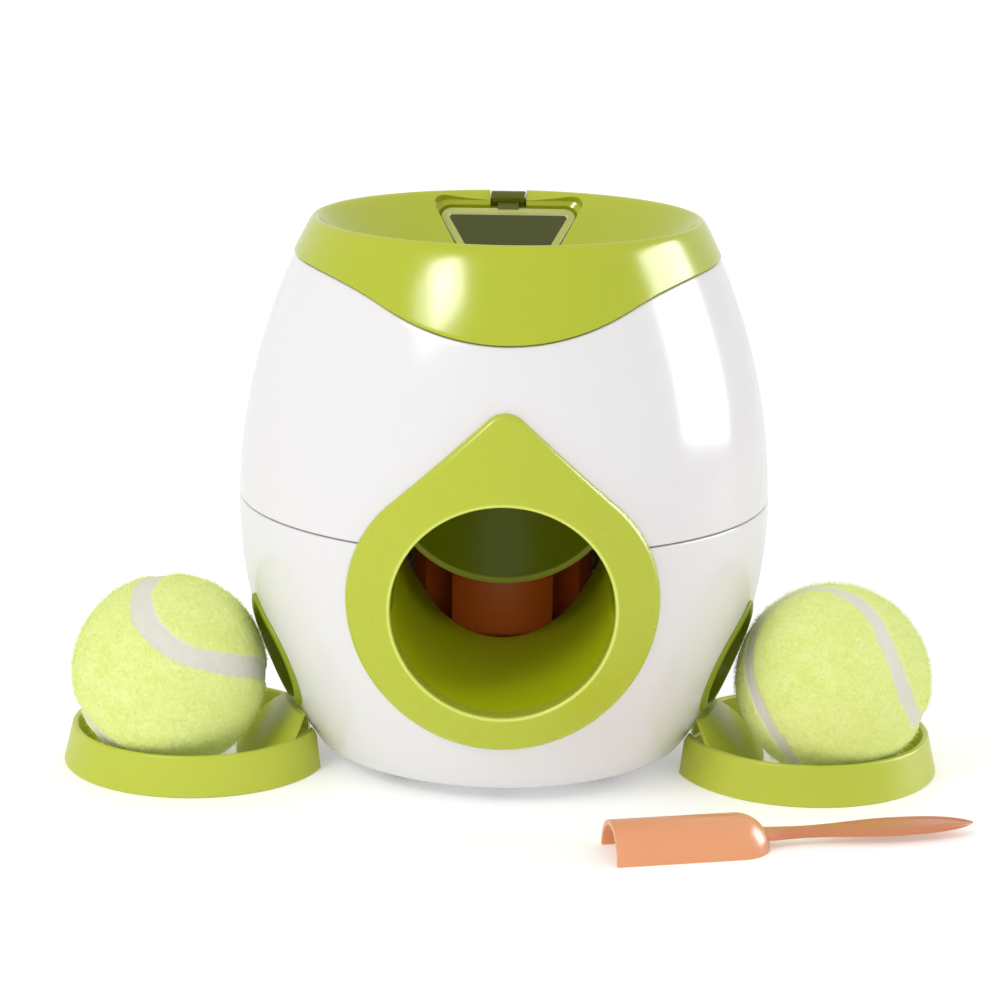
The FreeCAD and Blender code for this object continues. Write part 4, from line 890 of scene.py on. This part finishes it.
rows += [on_barrel(*drop_outline(PORT_SIZE, -PORT_LIP + PORT_SLEEVE).T, out, bearing)
         for out in (PORT_INSIDE, FRAME_SEAT)]
port_points, port_faces = looped(np.stack(rows, 1))
for side, sign in (("right", 1), ("left", -1)):
    port = new_piece("port_frame_" + side, (port_points * [sign, 1, 1], port_faces), port_lime_painted_shade)
    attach(port, "housing")
    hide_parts("port_bezel_" + side)

# --- Trays ----------------------------------------------------------------------------
# Lime rings that stand on the table round the balls, open in the floor but for a narrow
# flange. A sloping apron leads treats from the port down into the ring, and the ring's
# ends are shaped to the barrel.
TRAY_X = 102.1
TRAY_Y = -16.0
TRAY_FOOT_R = 44.3
TRAY_RIM_R = 41.3
TRAY_HEIGHT = 13.2
TRAY_WALL = 2.2
TRAY_FLANGE = 8.0
FLANGE_THICK = 1.8
FLANGE_EDGE = 0.4
FLANGE_BEND = ((0.3, 1.1), (0.45, 0.6), (1.1, 0.0))
FOOT_EDGE = 0.5
TRAY_ROUND = 0.9
APRON_TOP_Z = 20.2
APRON_WALL = 2.0
APRON_SHORT = 0.6
APRON_FOOT_R = 90.0
APRON_DEG = 77.0
APRON_TOP_HALF = 15.0
APRON_FOOT_HALF = 36.0
APRON_SKEW = 7.0

# The ring's section, from the flange's lower edge out to the foot, up the outside, over
# the rim and down the inside to the flange: radius and height of each point. The bend at
# its foot is given as pairs: how far in from the wall, and how far above the flange.
lean_r = (TRAY_FOOT_R - TRAY_RIM_R) / TRAY_HEIGHT
a = np.linspace(0, pi / 2, 5)
round_z = TRAY_HEIGHT - TRAY_ROUND
top_r = TRAY_FOOT_R - lean_r * round_z
inner_r = TRAY_FOOT_R - TRAY_WALL
flange_r = TRAY_FOOT_R - TRAY_FLANGE
bend_in, bend_up = np.array(FLANGE_BEND).T
ring_r = np.concatenate([[flange_r, TRAY_FOOT_R - FOOT_EDGE, TRAY_FOOT_R],
                         np.linspace(TRAY_FOOT_R, top_r, 9)[1:-1],
                         top_r - TRAY_ROUND * (1 - np.cos(a)),
                         (top_r - TRAY_WALL) + TRAY_ROUND * (1 - np.sin(a)),
                         np.linspace(top_r - TRAY_WALL, inner_r - bend_in[0], 8)[1:-1],
                         inner_r - bend_in[1:], [flange_r + FLANGE_EDGE, flange_r]])
ring_z = np.concatenate([[0, 0, FOOT_EDGE], np.linspace(FOOT_EDGE, round_z, 9)[1:-1],
                         TRAY_HEIGHT - TRAY_ROUND * (1 - np.sin(a)),
                         TRAY_HEIGHT - TRAY_ROUND * (1 - np.cos(a)),
                         np.linspace(round_z, FLANGE_THICK + bend_up[0], 8)[1:-1],
                         FLANGE_THICK + bend_up[1:],
                         [FLANGE_THICK, FLANGE_THICK - FLANGE_EDGE]])

# Each level of the ring ends where it would meet the barrel's own circle: the angle there
# follows from the three sides ring radius, barrel radius and distance between the centres.
# The flange's inner edge lies outside that circle, so its angle is held just above zero.
away = hypot(TRAY_X, TRAY_Y)
clear_r = barrel_radius(np.maximum(ring_z, corner_z), MOVE_GAP)
facing = (away ** 2 + ring_r ** 2 - clear_r ** 2) / (2 * away * ring_r)
reach = np.arccos(np.minimum(facing, 0.9999))
t = np.linspace(0, 1, 200)[:, None]
a = atan2(-TRAY_Y, -TRAY_X) + reach + (2 * pi - 2 * reach) * t
ring = looped(np.stack([TRAY_X + ring_r * np.cos(a), TRAY_Y + ring_r * np.sin(a),
                        ring_z + 0 * a], -1), wrap_rows=False)


def apron(inset, rows=40, columns=60):
    """Cone round the barrel from its top radius to the foot. At each height it runs across
    between two straight edges that part downwards, or as far as it lies inside the ring."""
    z = APRON_TOP_Z * (1 - np.linspace(0, 1, rows)[:, None])
    top = barrel_radius(np.array(APRON_TOP_Z), MOVE_GAP) + APRON_WALL
    down = (APRON_TOP_Z - z) / APRON_TOP_Z
    radius = top + (APRON_FOOT_R - top) * down - inset * (1 + down / 2)
    middle = -APRON_SKEW + 2 * APRON_SKEW * down
    half = APRON_TOP_HALF + (APRON_FOOT_HALF - APRON_TOP_HALF) * down
    turn = radians(APRON_DEG)

    def placed(across):
        out = np.sqrt(radius ** 2 - across ** 2)
        return np.stack([out * sin(turn) + across * cos(turn),
                         -out * cos(turn) + across * sin(turn), z + 0 * across], -1)

    fine = middle + half * np.linspace(-1, 1, 20 * columns)
    tried = placed(fine)
    off_centre = np.hypot(tried[..., 0] - TRAY_X, tried[..., 1] - TRAY_Y)
    inside = off_centre < TRAY_RIM_R - APRON_SHORT
    first = np.take_along_axis(fine, inside.argmax(1)[:, None], 1)
    last = np.take_along_axis(fine, fine.shape[1] - 1 - inside[:, ::-1].argmax(1)[:, None], 1)
    share = np.linspace(0, 1, columns)
    return placed(first * (1 - share) + last * share)


tray_lime = moulded("tray_lime", srgb(198, 207, 74), srgb(191, 200, 66), 0.3, grain=0.014,
                    Specular_IOR_Level=0.28, Subsurface_Weight=0.04)
tray_points, tray_faces = joined(ring, walled(apron(0.0), apron(APRON_WALL)))
for side, sign in (("right", 1), ("left", -1)):
    tray = new_piece("treat_tray_" + side, (tray_points * [sign, 1, 1], tray_faces), tray_lime)
    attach(tray, "tray_" + side)
    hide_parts("tray_" + side)

# --- Tennis balls ---------------------------------------------------------------------
# Rubber cores under two dumb-bell shaped pieces of napped felt. The seam of pale rubber
# cement between the pieces runs round the ball in one closed curve, a little sunk, and
# the felt's nap overhangs it.
BALL_R = 32.5
BALL_AT = (109.8, -25.9, 32.5)
SEAM_HALF = {"right": 2.9, "left": 3.7}
SEAM_SINK = 0.55
FELT_SINK = 0.4
SEAM_SHARE = 0.83
EDGE_FRAY = 0.35
EDGE_DRIFT = 0.6
FELT_BLUR = 0.22
FELT_WAVE = 0.16
FRAY_WAVES = (30, 16, 60)
DRIFT_WAVES = (12, 4, 14)
FELT_WAVES = (40, 30, 110)
NAP = 1.3
NAP_SHARES = (0.6, 1.5)
STRANDS = 16000
STRAND_HALF = 0.055
STRAND_TAPER = 0.8
STRAND_BEND = (0.55, 0.25)
STRAND_TIP = (0.8, 0.8)
ROOT_DEPTH = 0.2
BARE_MARGIN = 0.5
FLOOR_GAP = 0.05
BALL_TURNS = {"right": (128.8, 7.6, 25.7), "left": (95.1, 12.0, 150.6)}


def seam_curve(count=720):
    """Closed curve on a unit ball: x = a cos t + b cos 3t, y = a sin t - b sin 3t, z = 2
    root(ab) sin 2t, with a + b = 1."""
    a, b = SEAM_SHARE, 1 - SEAM_SHARE
    t = np.linspace(0, 2 * pi, count, endpoint=False)
    return np.stack([a * np.cos(t) + b * np.cos(3 * t), a * np.sin(t) - b * np.sin(3 * t),
                     2 * sqrt(a * b) * np.sin(2 * t)], -1)


def rounded_cube(count=110):
    """Ball as six square grids of directions, each tangent-spaced, so that no pole shows."""
    edge = np.tan(np.linspace(-pi / 4, pi / 4, count))
    u, v = np.meshgrid(edge, edge, indexing="ij")
    one = np.ones_like(u)
    sides = [(one, u, v), (-one, v, u), (v, one, u), (u, -one, v), (u, v, one), (v, u, -one)]
    points = np.concatenate([np.stack(side, -1).reshape(-1, 3) for side in sides])
    faces = cells(count, count).reshape(-1, 4)
    faces = np.concatenate([faces + k * count * count for k in range(6)])
    return points / np.linalg.norm(points, axis=1, keepdims=True), faces.tolist()


def seam_distance(directions):
    """Distance in mm over the ball from each direction to the seam's curve."""
    seam = seam_curve()
    parts = [(part @ seam.T).max(1) for part in np.array_split(directions, 40)]
    return BALL_R * np.arccos(np.clip(np.concatenate(parts), -1, 1))


def waves(points, seed, count, low, high):
    """Smooth unevenness: a sum of sine waves in seeded directions, mostly between -1 and 1,
    with from low to high radians of a wave across a unit."""
    dice = np.random.default_rng(seed)
    way = dice.normal(size=(count, 3))
    way *= (dice.uniform(low, high, count) / np.linalg.norm(way, axis=1))[:, None]
    return np.sin(points @ way.T + dice.uniform(0, 2 * pi, count)).sum(1) / sqrt(count) / 1.6


def ball_body(seed, seam_half):
    """Felt ball: its radius sinks at the seam, whose edges fray and drift, and waves a
    little elsewhere. Thousands of thin bent strands stand out of it, none from the seam.
    Bend and tip lie so many strand lengths up and sideways."""
    directions, faces = rounded_cube()
    far = seam_distance(directions)
    ragged = (seam_half + EDGE_FRAY * waves(directions, seed, *FRAY_WAVES)
              + EDGE_DRIFT * waves(directions, seed + 3, *DRIFT_WAVES))
    felt = 1 / (1 + np.exp(-(far - ragged) / FELT_BLUR))
    uneven = FELT_WAVE * felt * waves(directions, seed + 1, *FELT_WAVES)
    radius = BALL_R - FELT_SINK - SEAM_SINK * (1 - felt) + uneven
    dice = np.random.default_rng(seed + 2)
    root = dice.normal(size=(STRANDS, 3))
    root /= np.linalg.norm(root, axis=1, keepdims=True)
    root = root[seam_distance(root) > seam_half + BARE_MARGIN]
    count = len(root)
    side = np.cross(root, dice.normal(size=(count, 3)))
    side /= np.linalg.norm(side, axis=1, keepdims=True)
    fall = np.cross(root, side)
    length = dice.uniform(*NAP_SHARES, (count, 1)) * NAP
    foot = root * (BALL_R - FELT_SINK - ROOT_DEPTH)
    out = side * STRAND_HALF
    bend = foot + root * length * STRAND_BEND[0] + fall * length * STRAND_BEND[1]
    tip = foot + root * length * STRAND_TIP[0] + fall * length * STRAND_TIP[1]
    strands = np.stack([foot - out, foot + out, bend + out * STRAND_TAPER,
                        bend - out * STRAND_TAPER, tip], 1)
    first = np.arange(count)[:, None] * 5
    strand_faces = (first + [0, 1, 2, 3]).tolist() + (first + [3, 2, 4]).tolist()
    return (directions * radius[:, None], faces), (strands.reshape(-1, 3), strand_faces), felt


felt_finish, shader, place = new_finish(
    "ball_felt", Sheen_Weight=0.6, Sheen_Roughness=0.45, Specular_IOR_Level=0.1,
    Sheen_Tint=srgb(240, 250, 170))
on_felt = place.mark("felt")
tuft = place.noise(900.0, 4.0, 0.65)
matted = place.noise(120.0, 3.0)
pile = (tuft * 0.7 + matted * 0.3).step(0.3, 0.7)
pile_colour = pile.mixed(srgb(230, 243, 134), srgb(244, 253, 174))
nap_height = tuft * 0.5 + place.noise(1500.0, 3.0, 0.7) * 0.6
cement = place.noise(300.0, 3.0).mixed(srgb(238, 234, 224), srgb(224, 221, 211))
plug(shader, Base_Color=on_felt.mixed(cement, pile_colour), Roughness=0.62 + on_felt * 0.33,
     Normal=nap_height.bump(0.6, 0.0008))
for side, sign, seed in (("right", 1, 11), ("left", -1, 12)):
    body, strands, felt = ball_body(seed, SEAM_HALF[side])
    turns = [radians(v) for v in BALL_TURNS[side]]
    spin = np.array(Matrix.Rotation(turns[2], 3, "Z") @ Matrix.Rotation(turns[1], 3, "Y")
                    @ Matrix.Rotation(turns[0], 3, "X"))
    centre = np.array(BALL_AT) * [sign, 1, 1]
    points, faces = joined(body, strands)
    mesh = bpy.data.meshes.new("tennis_ball_" + side)
    points = points @ spin.T + centre
    points[:, 2] = np.maximum(points[:, 2], FLOOR_GAP)
    mesh.from_pydata((points * MM).tolist(), [], faces)
    mesh.shade_smooth()
    mesh.materials.append(felt_finish)
    mask = mesh.attributes.new("felt", "FLOAT", "POINT")
    mask.data.foreach_set("value", np.concatenate([felt, np.ones(len(strands[0]))]))
    ball = bpy.data.objects.new("tennis_ball_" + side, mesh)
    bpy.context.scene.collection.objects.link(ball)
    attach(ball, "ball_" + side)
    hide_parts("ball_felt_" + side)

# --- Treat scoop ----------------------------------------------------------------------
# Orange moulding that lies open side down: a half pipe with a round shoulder, a slim neck
# and a leaf-shaped grip with a shallow inset panel on it. The head is painted lighter and
# the neck and grip darker: painted light and shade along its length.
SCOOP_R = 11.0
SCOOP_WALL = 1.6
SCOOP_TROUGH = 40.0
SCOOP_LENGTH = 118.0
SCOOP_AT = (34.0, -106.0)
SCOOP_TURN_DEG = 12.0
NECK_START = 47.0
NECK_WAIST = 61.5
GRIP_WIDE = 91.2
NECK_SECTION = (4.0, 2.6, 6.2)
GRIP_LOW_Z = 2.2
GRIP_TOP_Z = 5.6
GRIP_FULLNESS = 0.55
END_SHARE = 0.02
END_REACH = 0.9995
END_THICK = 0.05
PANEL_DEPTH = 0.45
PANEL_WIDE = 0.62
PANEL_EDGE = (0.92, 1.08)
PANEL_ROUND = 0.6
PANEL_AHEAD = (20.0, 14.0)
TINT_FADE = (5.0, 10.0)
HEAD_TINT_PAINTED_LIGHT = srgb(244, 168, 118)
GRIP_TINT_PAINTED_SHADE = srgb(212, 136, 92)


def eased(x, start, end):
    """Smooth 0 to 1 between start and end: 3t^2 - 2t^3."""
    t = np.clip((x - start) / (end - start), 0, 1)
    return t * t * (3 - 2 * t)


def half_pipe(radius):
    """Half circle carried along X, whose radius closes in a quarter circle at the end, all
    but for a small share of it."""
    b = np.linspace(0, pi / 2, 22)[1:-1]
    x = np.concatenate([np.linspace(0, SCOOP_TROUGH, 24), SCOOP_TROUGH + radius * np.sin(b),
                        [SCOOP_TROUGH + radius * END_REACH]])
    r = np.concatenate([np.full(24, radius), radius * np.cos(b), [radius * END_SHARE]])
    v = np.linspace(0, pi, 48)[:, None]
    return np.stack([x + 0 * v, r * np.cos(v), r * np.sin(v)], -1)


def grip_side(upper):
    """Upper or lower skin of neck and grip. Half width runs from root to waist to leaf and
    closes in an ellipse. The skin bulges with a power of the cosine across. The panel
    sinks into the top inside a smaller leaf, and starts a little ahead of the widest place."""
    leaf_length = SCOOP_LENGTH - GRIP_WIDE
    x = np.concatenate([np.linspace(NECK_START, GRIP_WIDE, 44)[:-1],
                        GRIP_WIDE + leaf_length * np.sin(np.linspace(0, pi / 2, 30))])
    root, waist, leaf = NECK_SECTION
    width = root + (waist - root) * eased(x, NECK_START, NECK_WAIST)
    width += (leaf - waist) * eased(x, NECK_WAIST, GRIP_WIDE)
    past = np.clip((x - GRIP_WIDE) / leaf_length, 0, 1)
    width *= np.maximum(np.sqrt(1 - past ** 2), END_SHARE)
    s = np.linspace(-1, 1, 45)[:, None]
    y = width * np.sin(s * pi / 2)
    middle = (GRIP_LOW_Z + GRIP_TOP_Z) / 2
    thick = (GRIP_TOP_Z - GRIP_LOW_Z) / 2 * np.maximum(1 - past ** 4, END_THICK)
    bulge = thick * np.maximum(np.cos(s * pi / 2), 0) ** GRIP_FULLNESS
    if upper:
        leaf_share = np.abs(y) / (PANEL_WIDE * width) + past ** 2 * PANEL_ROUND
        inner = 1 - eased(leaf_share, *PANEL_EDGE)
        along = eased(x, GRIP_WIDE - PANEL_AHEAD[0], GRIP_WIDE - PANEL_AHEAD[1])
        bulge = bulge - PANEL_DEPTH * inner * along
    return np.stack([x + 0 * y, y, middle + (bulge if upper else -bulge)], -1)


scoop_orange, shader, place = new_finish(
    "scoop_orange", Coat_Weight=0.2, Coat_Roughness=0.12, IOR=1.49, Subsurface_Weight=0.12,
    Subsurface_Scale=0.004)
drift = place.noise(24.0, 3.0)
plug(shader, Base_Color=place.mark("tint", 0).shaded(srgb(236, 226, 220), drift * 0.6),
     Roughness=0.26 + place.noise(120.0, 4.0) * 0.1,
     Normal=place.noise(500.0, 3.0).bump(0.03, 0.0006))
scoop_points, scoop_faces = joined(
    walled(half_pipe(SCOOP_R), half_pipe(SCOOP_R - SCOOP_WALL)),
    walled(grip_side(True), grip_side(False)))
# Painted light and shade: the head is tinted lighter and the neck and grip darker.
along = eased(scoop_points[:, :1], NECK_START - TINT_FADE[0], NECK_START + TINT_FADE[1])
scoop_tints = (1 - along) * np.array(HEAD_TINT_PAINTED_LIGHT) + along * np.array(GRIP_TINT_PAINTED_SHADE)
turn = radians(SCOOP_TURN_DEG)
turning = np.array([[cos(turn), sin(turn), 0], [-sin(turn), cos(turn), 0], [0, 0, 1]])
scoop_points = scoop_points @ turning + [*SCOOP_AT, 0]
scoop = new_piece("treat_scoop", (scoop_points, scoop_faces), scoop_orange, tint=scoop_tints)
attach(scoop, "scoop")
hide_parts("scoop")

# --- Base plate, hopper and slides ----------------------------------------------------
# Flat mouldings that the housing hides. They keep their own shapes: the base plate is
# white like the shells, the hopper and the drum's deck are grey, the slides dark green.
inner_grey = moulded("inner_grey", srgb(148, 150, 142), srgb(134, 136, 128), 0.42, grain=0.05)


def dress(node, finish):
    """Gives a node that keeps its own shape a finish."""
    for part_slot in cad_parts[node].material_slots:
        part_slot.material = finish


dress("base_plate", white)
dress("rotor_deck", inner_grey)
dress("treat_hopper", inner_grey)
dress("treat_chute_right", tube_green)
dress("treat_chute_left", tube_green)

# --- Feet and ball cores --------------------------------------------------------------
# Black rubber feet pushed into pockets of the base plate, and the brown rubber cores that
# the felt closes in. Both are matt and a little dusty.
rubber, shader, place = new_finish("foot_rubber", Specular_IOR_Level=0.3)
dust = place.noise(260.0, 4.0, 0.6)
plug(shader, Base_Color=dust.step(0.35, 0.8).mixed(srgb(30, 30, 30), srgb(58, 57, 55)),
     Roughness=0.72 + dust * 0.2, Normal=dust.bump(0.2, 0.0004))
core_rubber, shader, place = new_finish("core_rubber", Specular_IOR_Level=0.3)
bloom = place.noise(180.0, 3.0)
plug(shader, Base_Color=bloom.mixed(srgb(104, 62, 44), srgb(124, 80, 58)),
     Roughness=0.7 + bloom * 0.2)
dress("rubber_feet", rubber)
dress("ball_core_right", core_rubber)
dress("ball_core_left", core_rubber)

# --- Screws, pin and axle -------------------------------------------------------------
# Zinc-plated steel: pan-head screws driven from below, the hatch's hinge pin, and the
# post, washer and screw that carry the drum.
steel, shader, place = new_finish("screw_steel", Metallic=1.0)
streak = place.noise(1800.0, 3.0, 0.6)
plug(shader, Base_Color=streak.mixed(srgb(196, 198, 202), srgb(172, 174, 180)),
     Roughness=0.24 + streak * 0.2)
for node in ("base_screws", "leg_screws", "shell_screws", "funnel_screws", "hatch_pin",
             "rotor_axle", "rotor_washer", "rotor_screw"):
    dress(node, steel)

# --- Floor ----------------------------------------------------------------------------
# A wide white table top, bright enough to run into the white behind it, that keeps the
# soft shadows.
FLOOR_HALF = 4.0
FLOOR_LIFT = 0.16
FLOOR_SEEN = 0.1

floor_white, shader, place = new_finish("table_white", Roughness=0.6, Specular_IOR_Level=0.2,
                                        Emission_Strength=1.0)
seen = place.node("ShaderNodeLightPath")
lifts = [(level, level, level, 1.0) for level in (FLOOR_LIFT, FLOOR_LIFT + FLOOR_SEEN)]
plug(shader, Base_Color=place.noise(3.0).mixed(srgb(247, 247, 247), srgb(249, 249, 249)),
     Emission_Color=seen.mixed(*lifts))
mesh = bpy.data.meshes.new("table")
mesh.from_pydata([(x, y, 0) for x, y in ((-FLOOR_HALF, -FLOOR_HALF), (FLOOR_HALF, -FLOOR_HALF),
                                         (FLOOR_HALF, FLOOR_HALF), (-FLOOR_HALF, FLOOR_HALF))],
                 [], [(0, 1, 2, 3)])
mesh.materials.append(floor_white)
table = bpy.data.objects.new("table", mesh)
bpy.context.scene.collection.objects.link(table)

# --- Light ----------------------------------------------------------------------------
# Two soft boxes, one high on the left in front and a tall one on the right, in a room
# that is evenly pale. The room looks white to the eye and in reflections. A brighter panel
# at each box shows in gloss alone. Each row: name, place, size, watts, whether it lights.
ROOM_LEVEL = 0.78
LIT_POINT = (0, 0, 0.1)
SOFT_BOXES = (("soft_box_left", (-0.72, -0.85, 0.9), (0.4, 0.4), 4.1, True),
              ("soft_box_right", (1.22, 0.2, 0.5), (0.8, 0.72), 1.0, True),
              ("panel_left", (-0.62, -0.87, 0.985), (0.34, 0.34), 8.0, False),
              ("panel_right", (1.21, 0.2, 0.5), (0.8, 0.72), 24.0, False))

room = bpy.data.worlds.new("room")
bpy.context.scene.world = room
room.use_nodes = True
wall = room.node_tree.nodes["Background"]
ray = Link(room.node_tree, None)
path = ray.node("ShaderNodeLightPath")
glossy = Link(path.tree, path.socket.node.outputs["Is Glossy Ray"])
through = Link(path.tree, path.socket.node.outputs["Is Transmission Ray"])
white_seen = (path + glossy + through).clamped()
path.tree.links.new((ROOM_LEVEL + white_seen * (1 - ROOM_LEVEL)).socket, wall.inputs["Strength"])
wall.inputs["Color"].default_value = (1, 1, 1, 1)
for name, at, size, power, lights in SOFT_BOXES:
    lamp = bpy.data.lights.new(name, "AREA")
    lamp.shape, lamp.size, lamp.size_y, lamp.energy = "RECTANGLE", size[0], size[1], power
    box = bpy.data.objects.new(name, lamp)
    box.location = at
    box.visible_diffuse = lights
    box.rotation_euler = (Vector(LIT_POINT) - Vector(at)).to_track_quat("-Z", "Z").to_euler()
    bpy.context.scene.collection.objects.link(box)

bpy.context.view_layer.update()
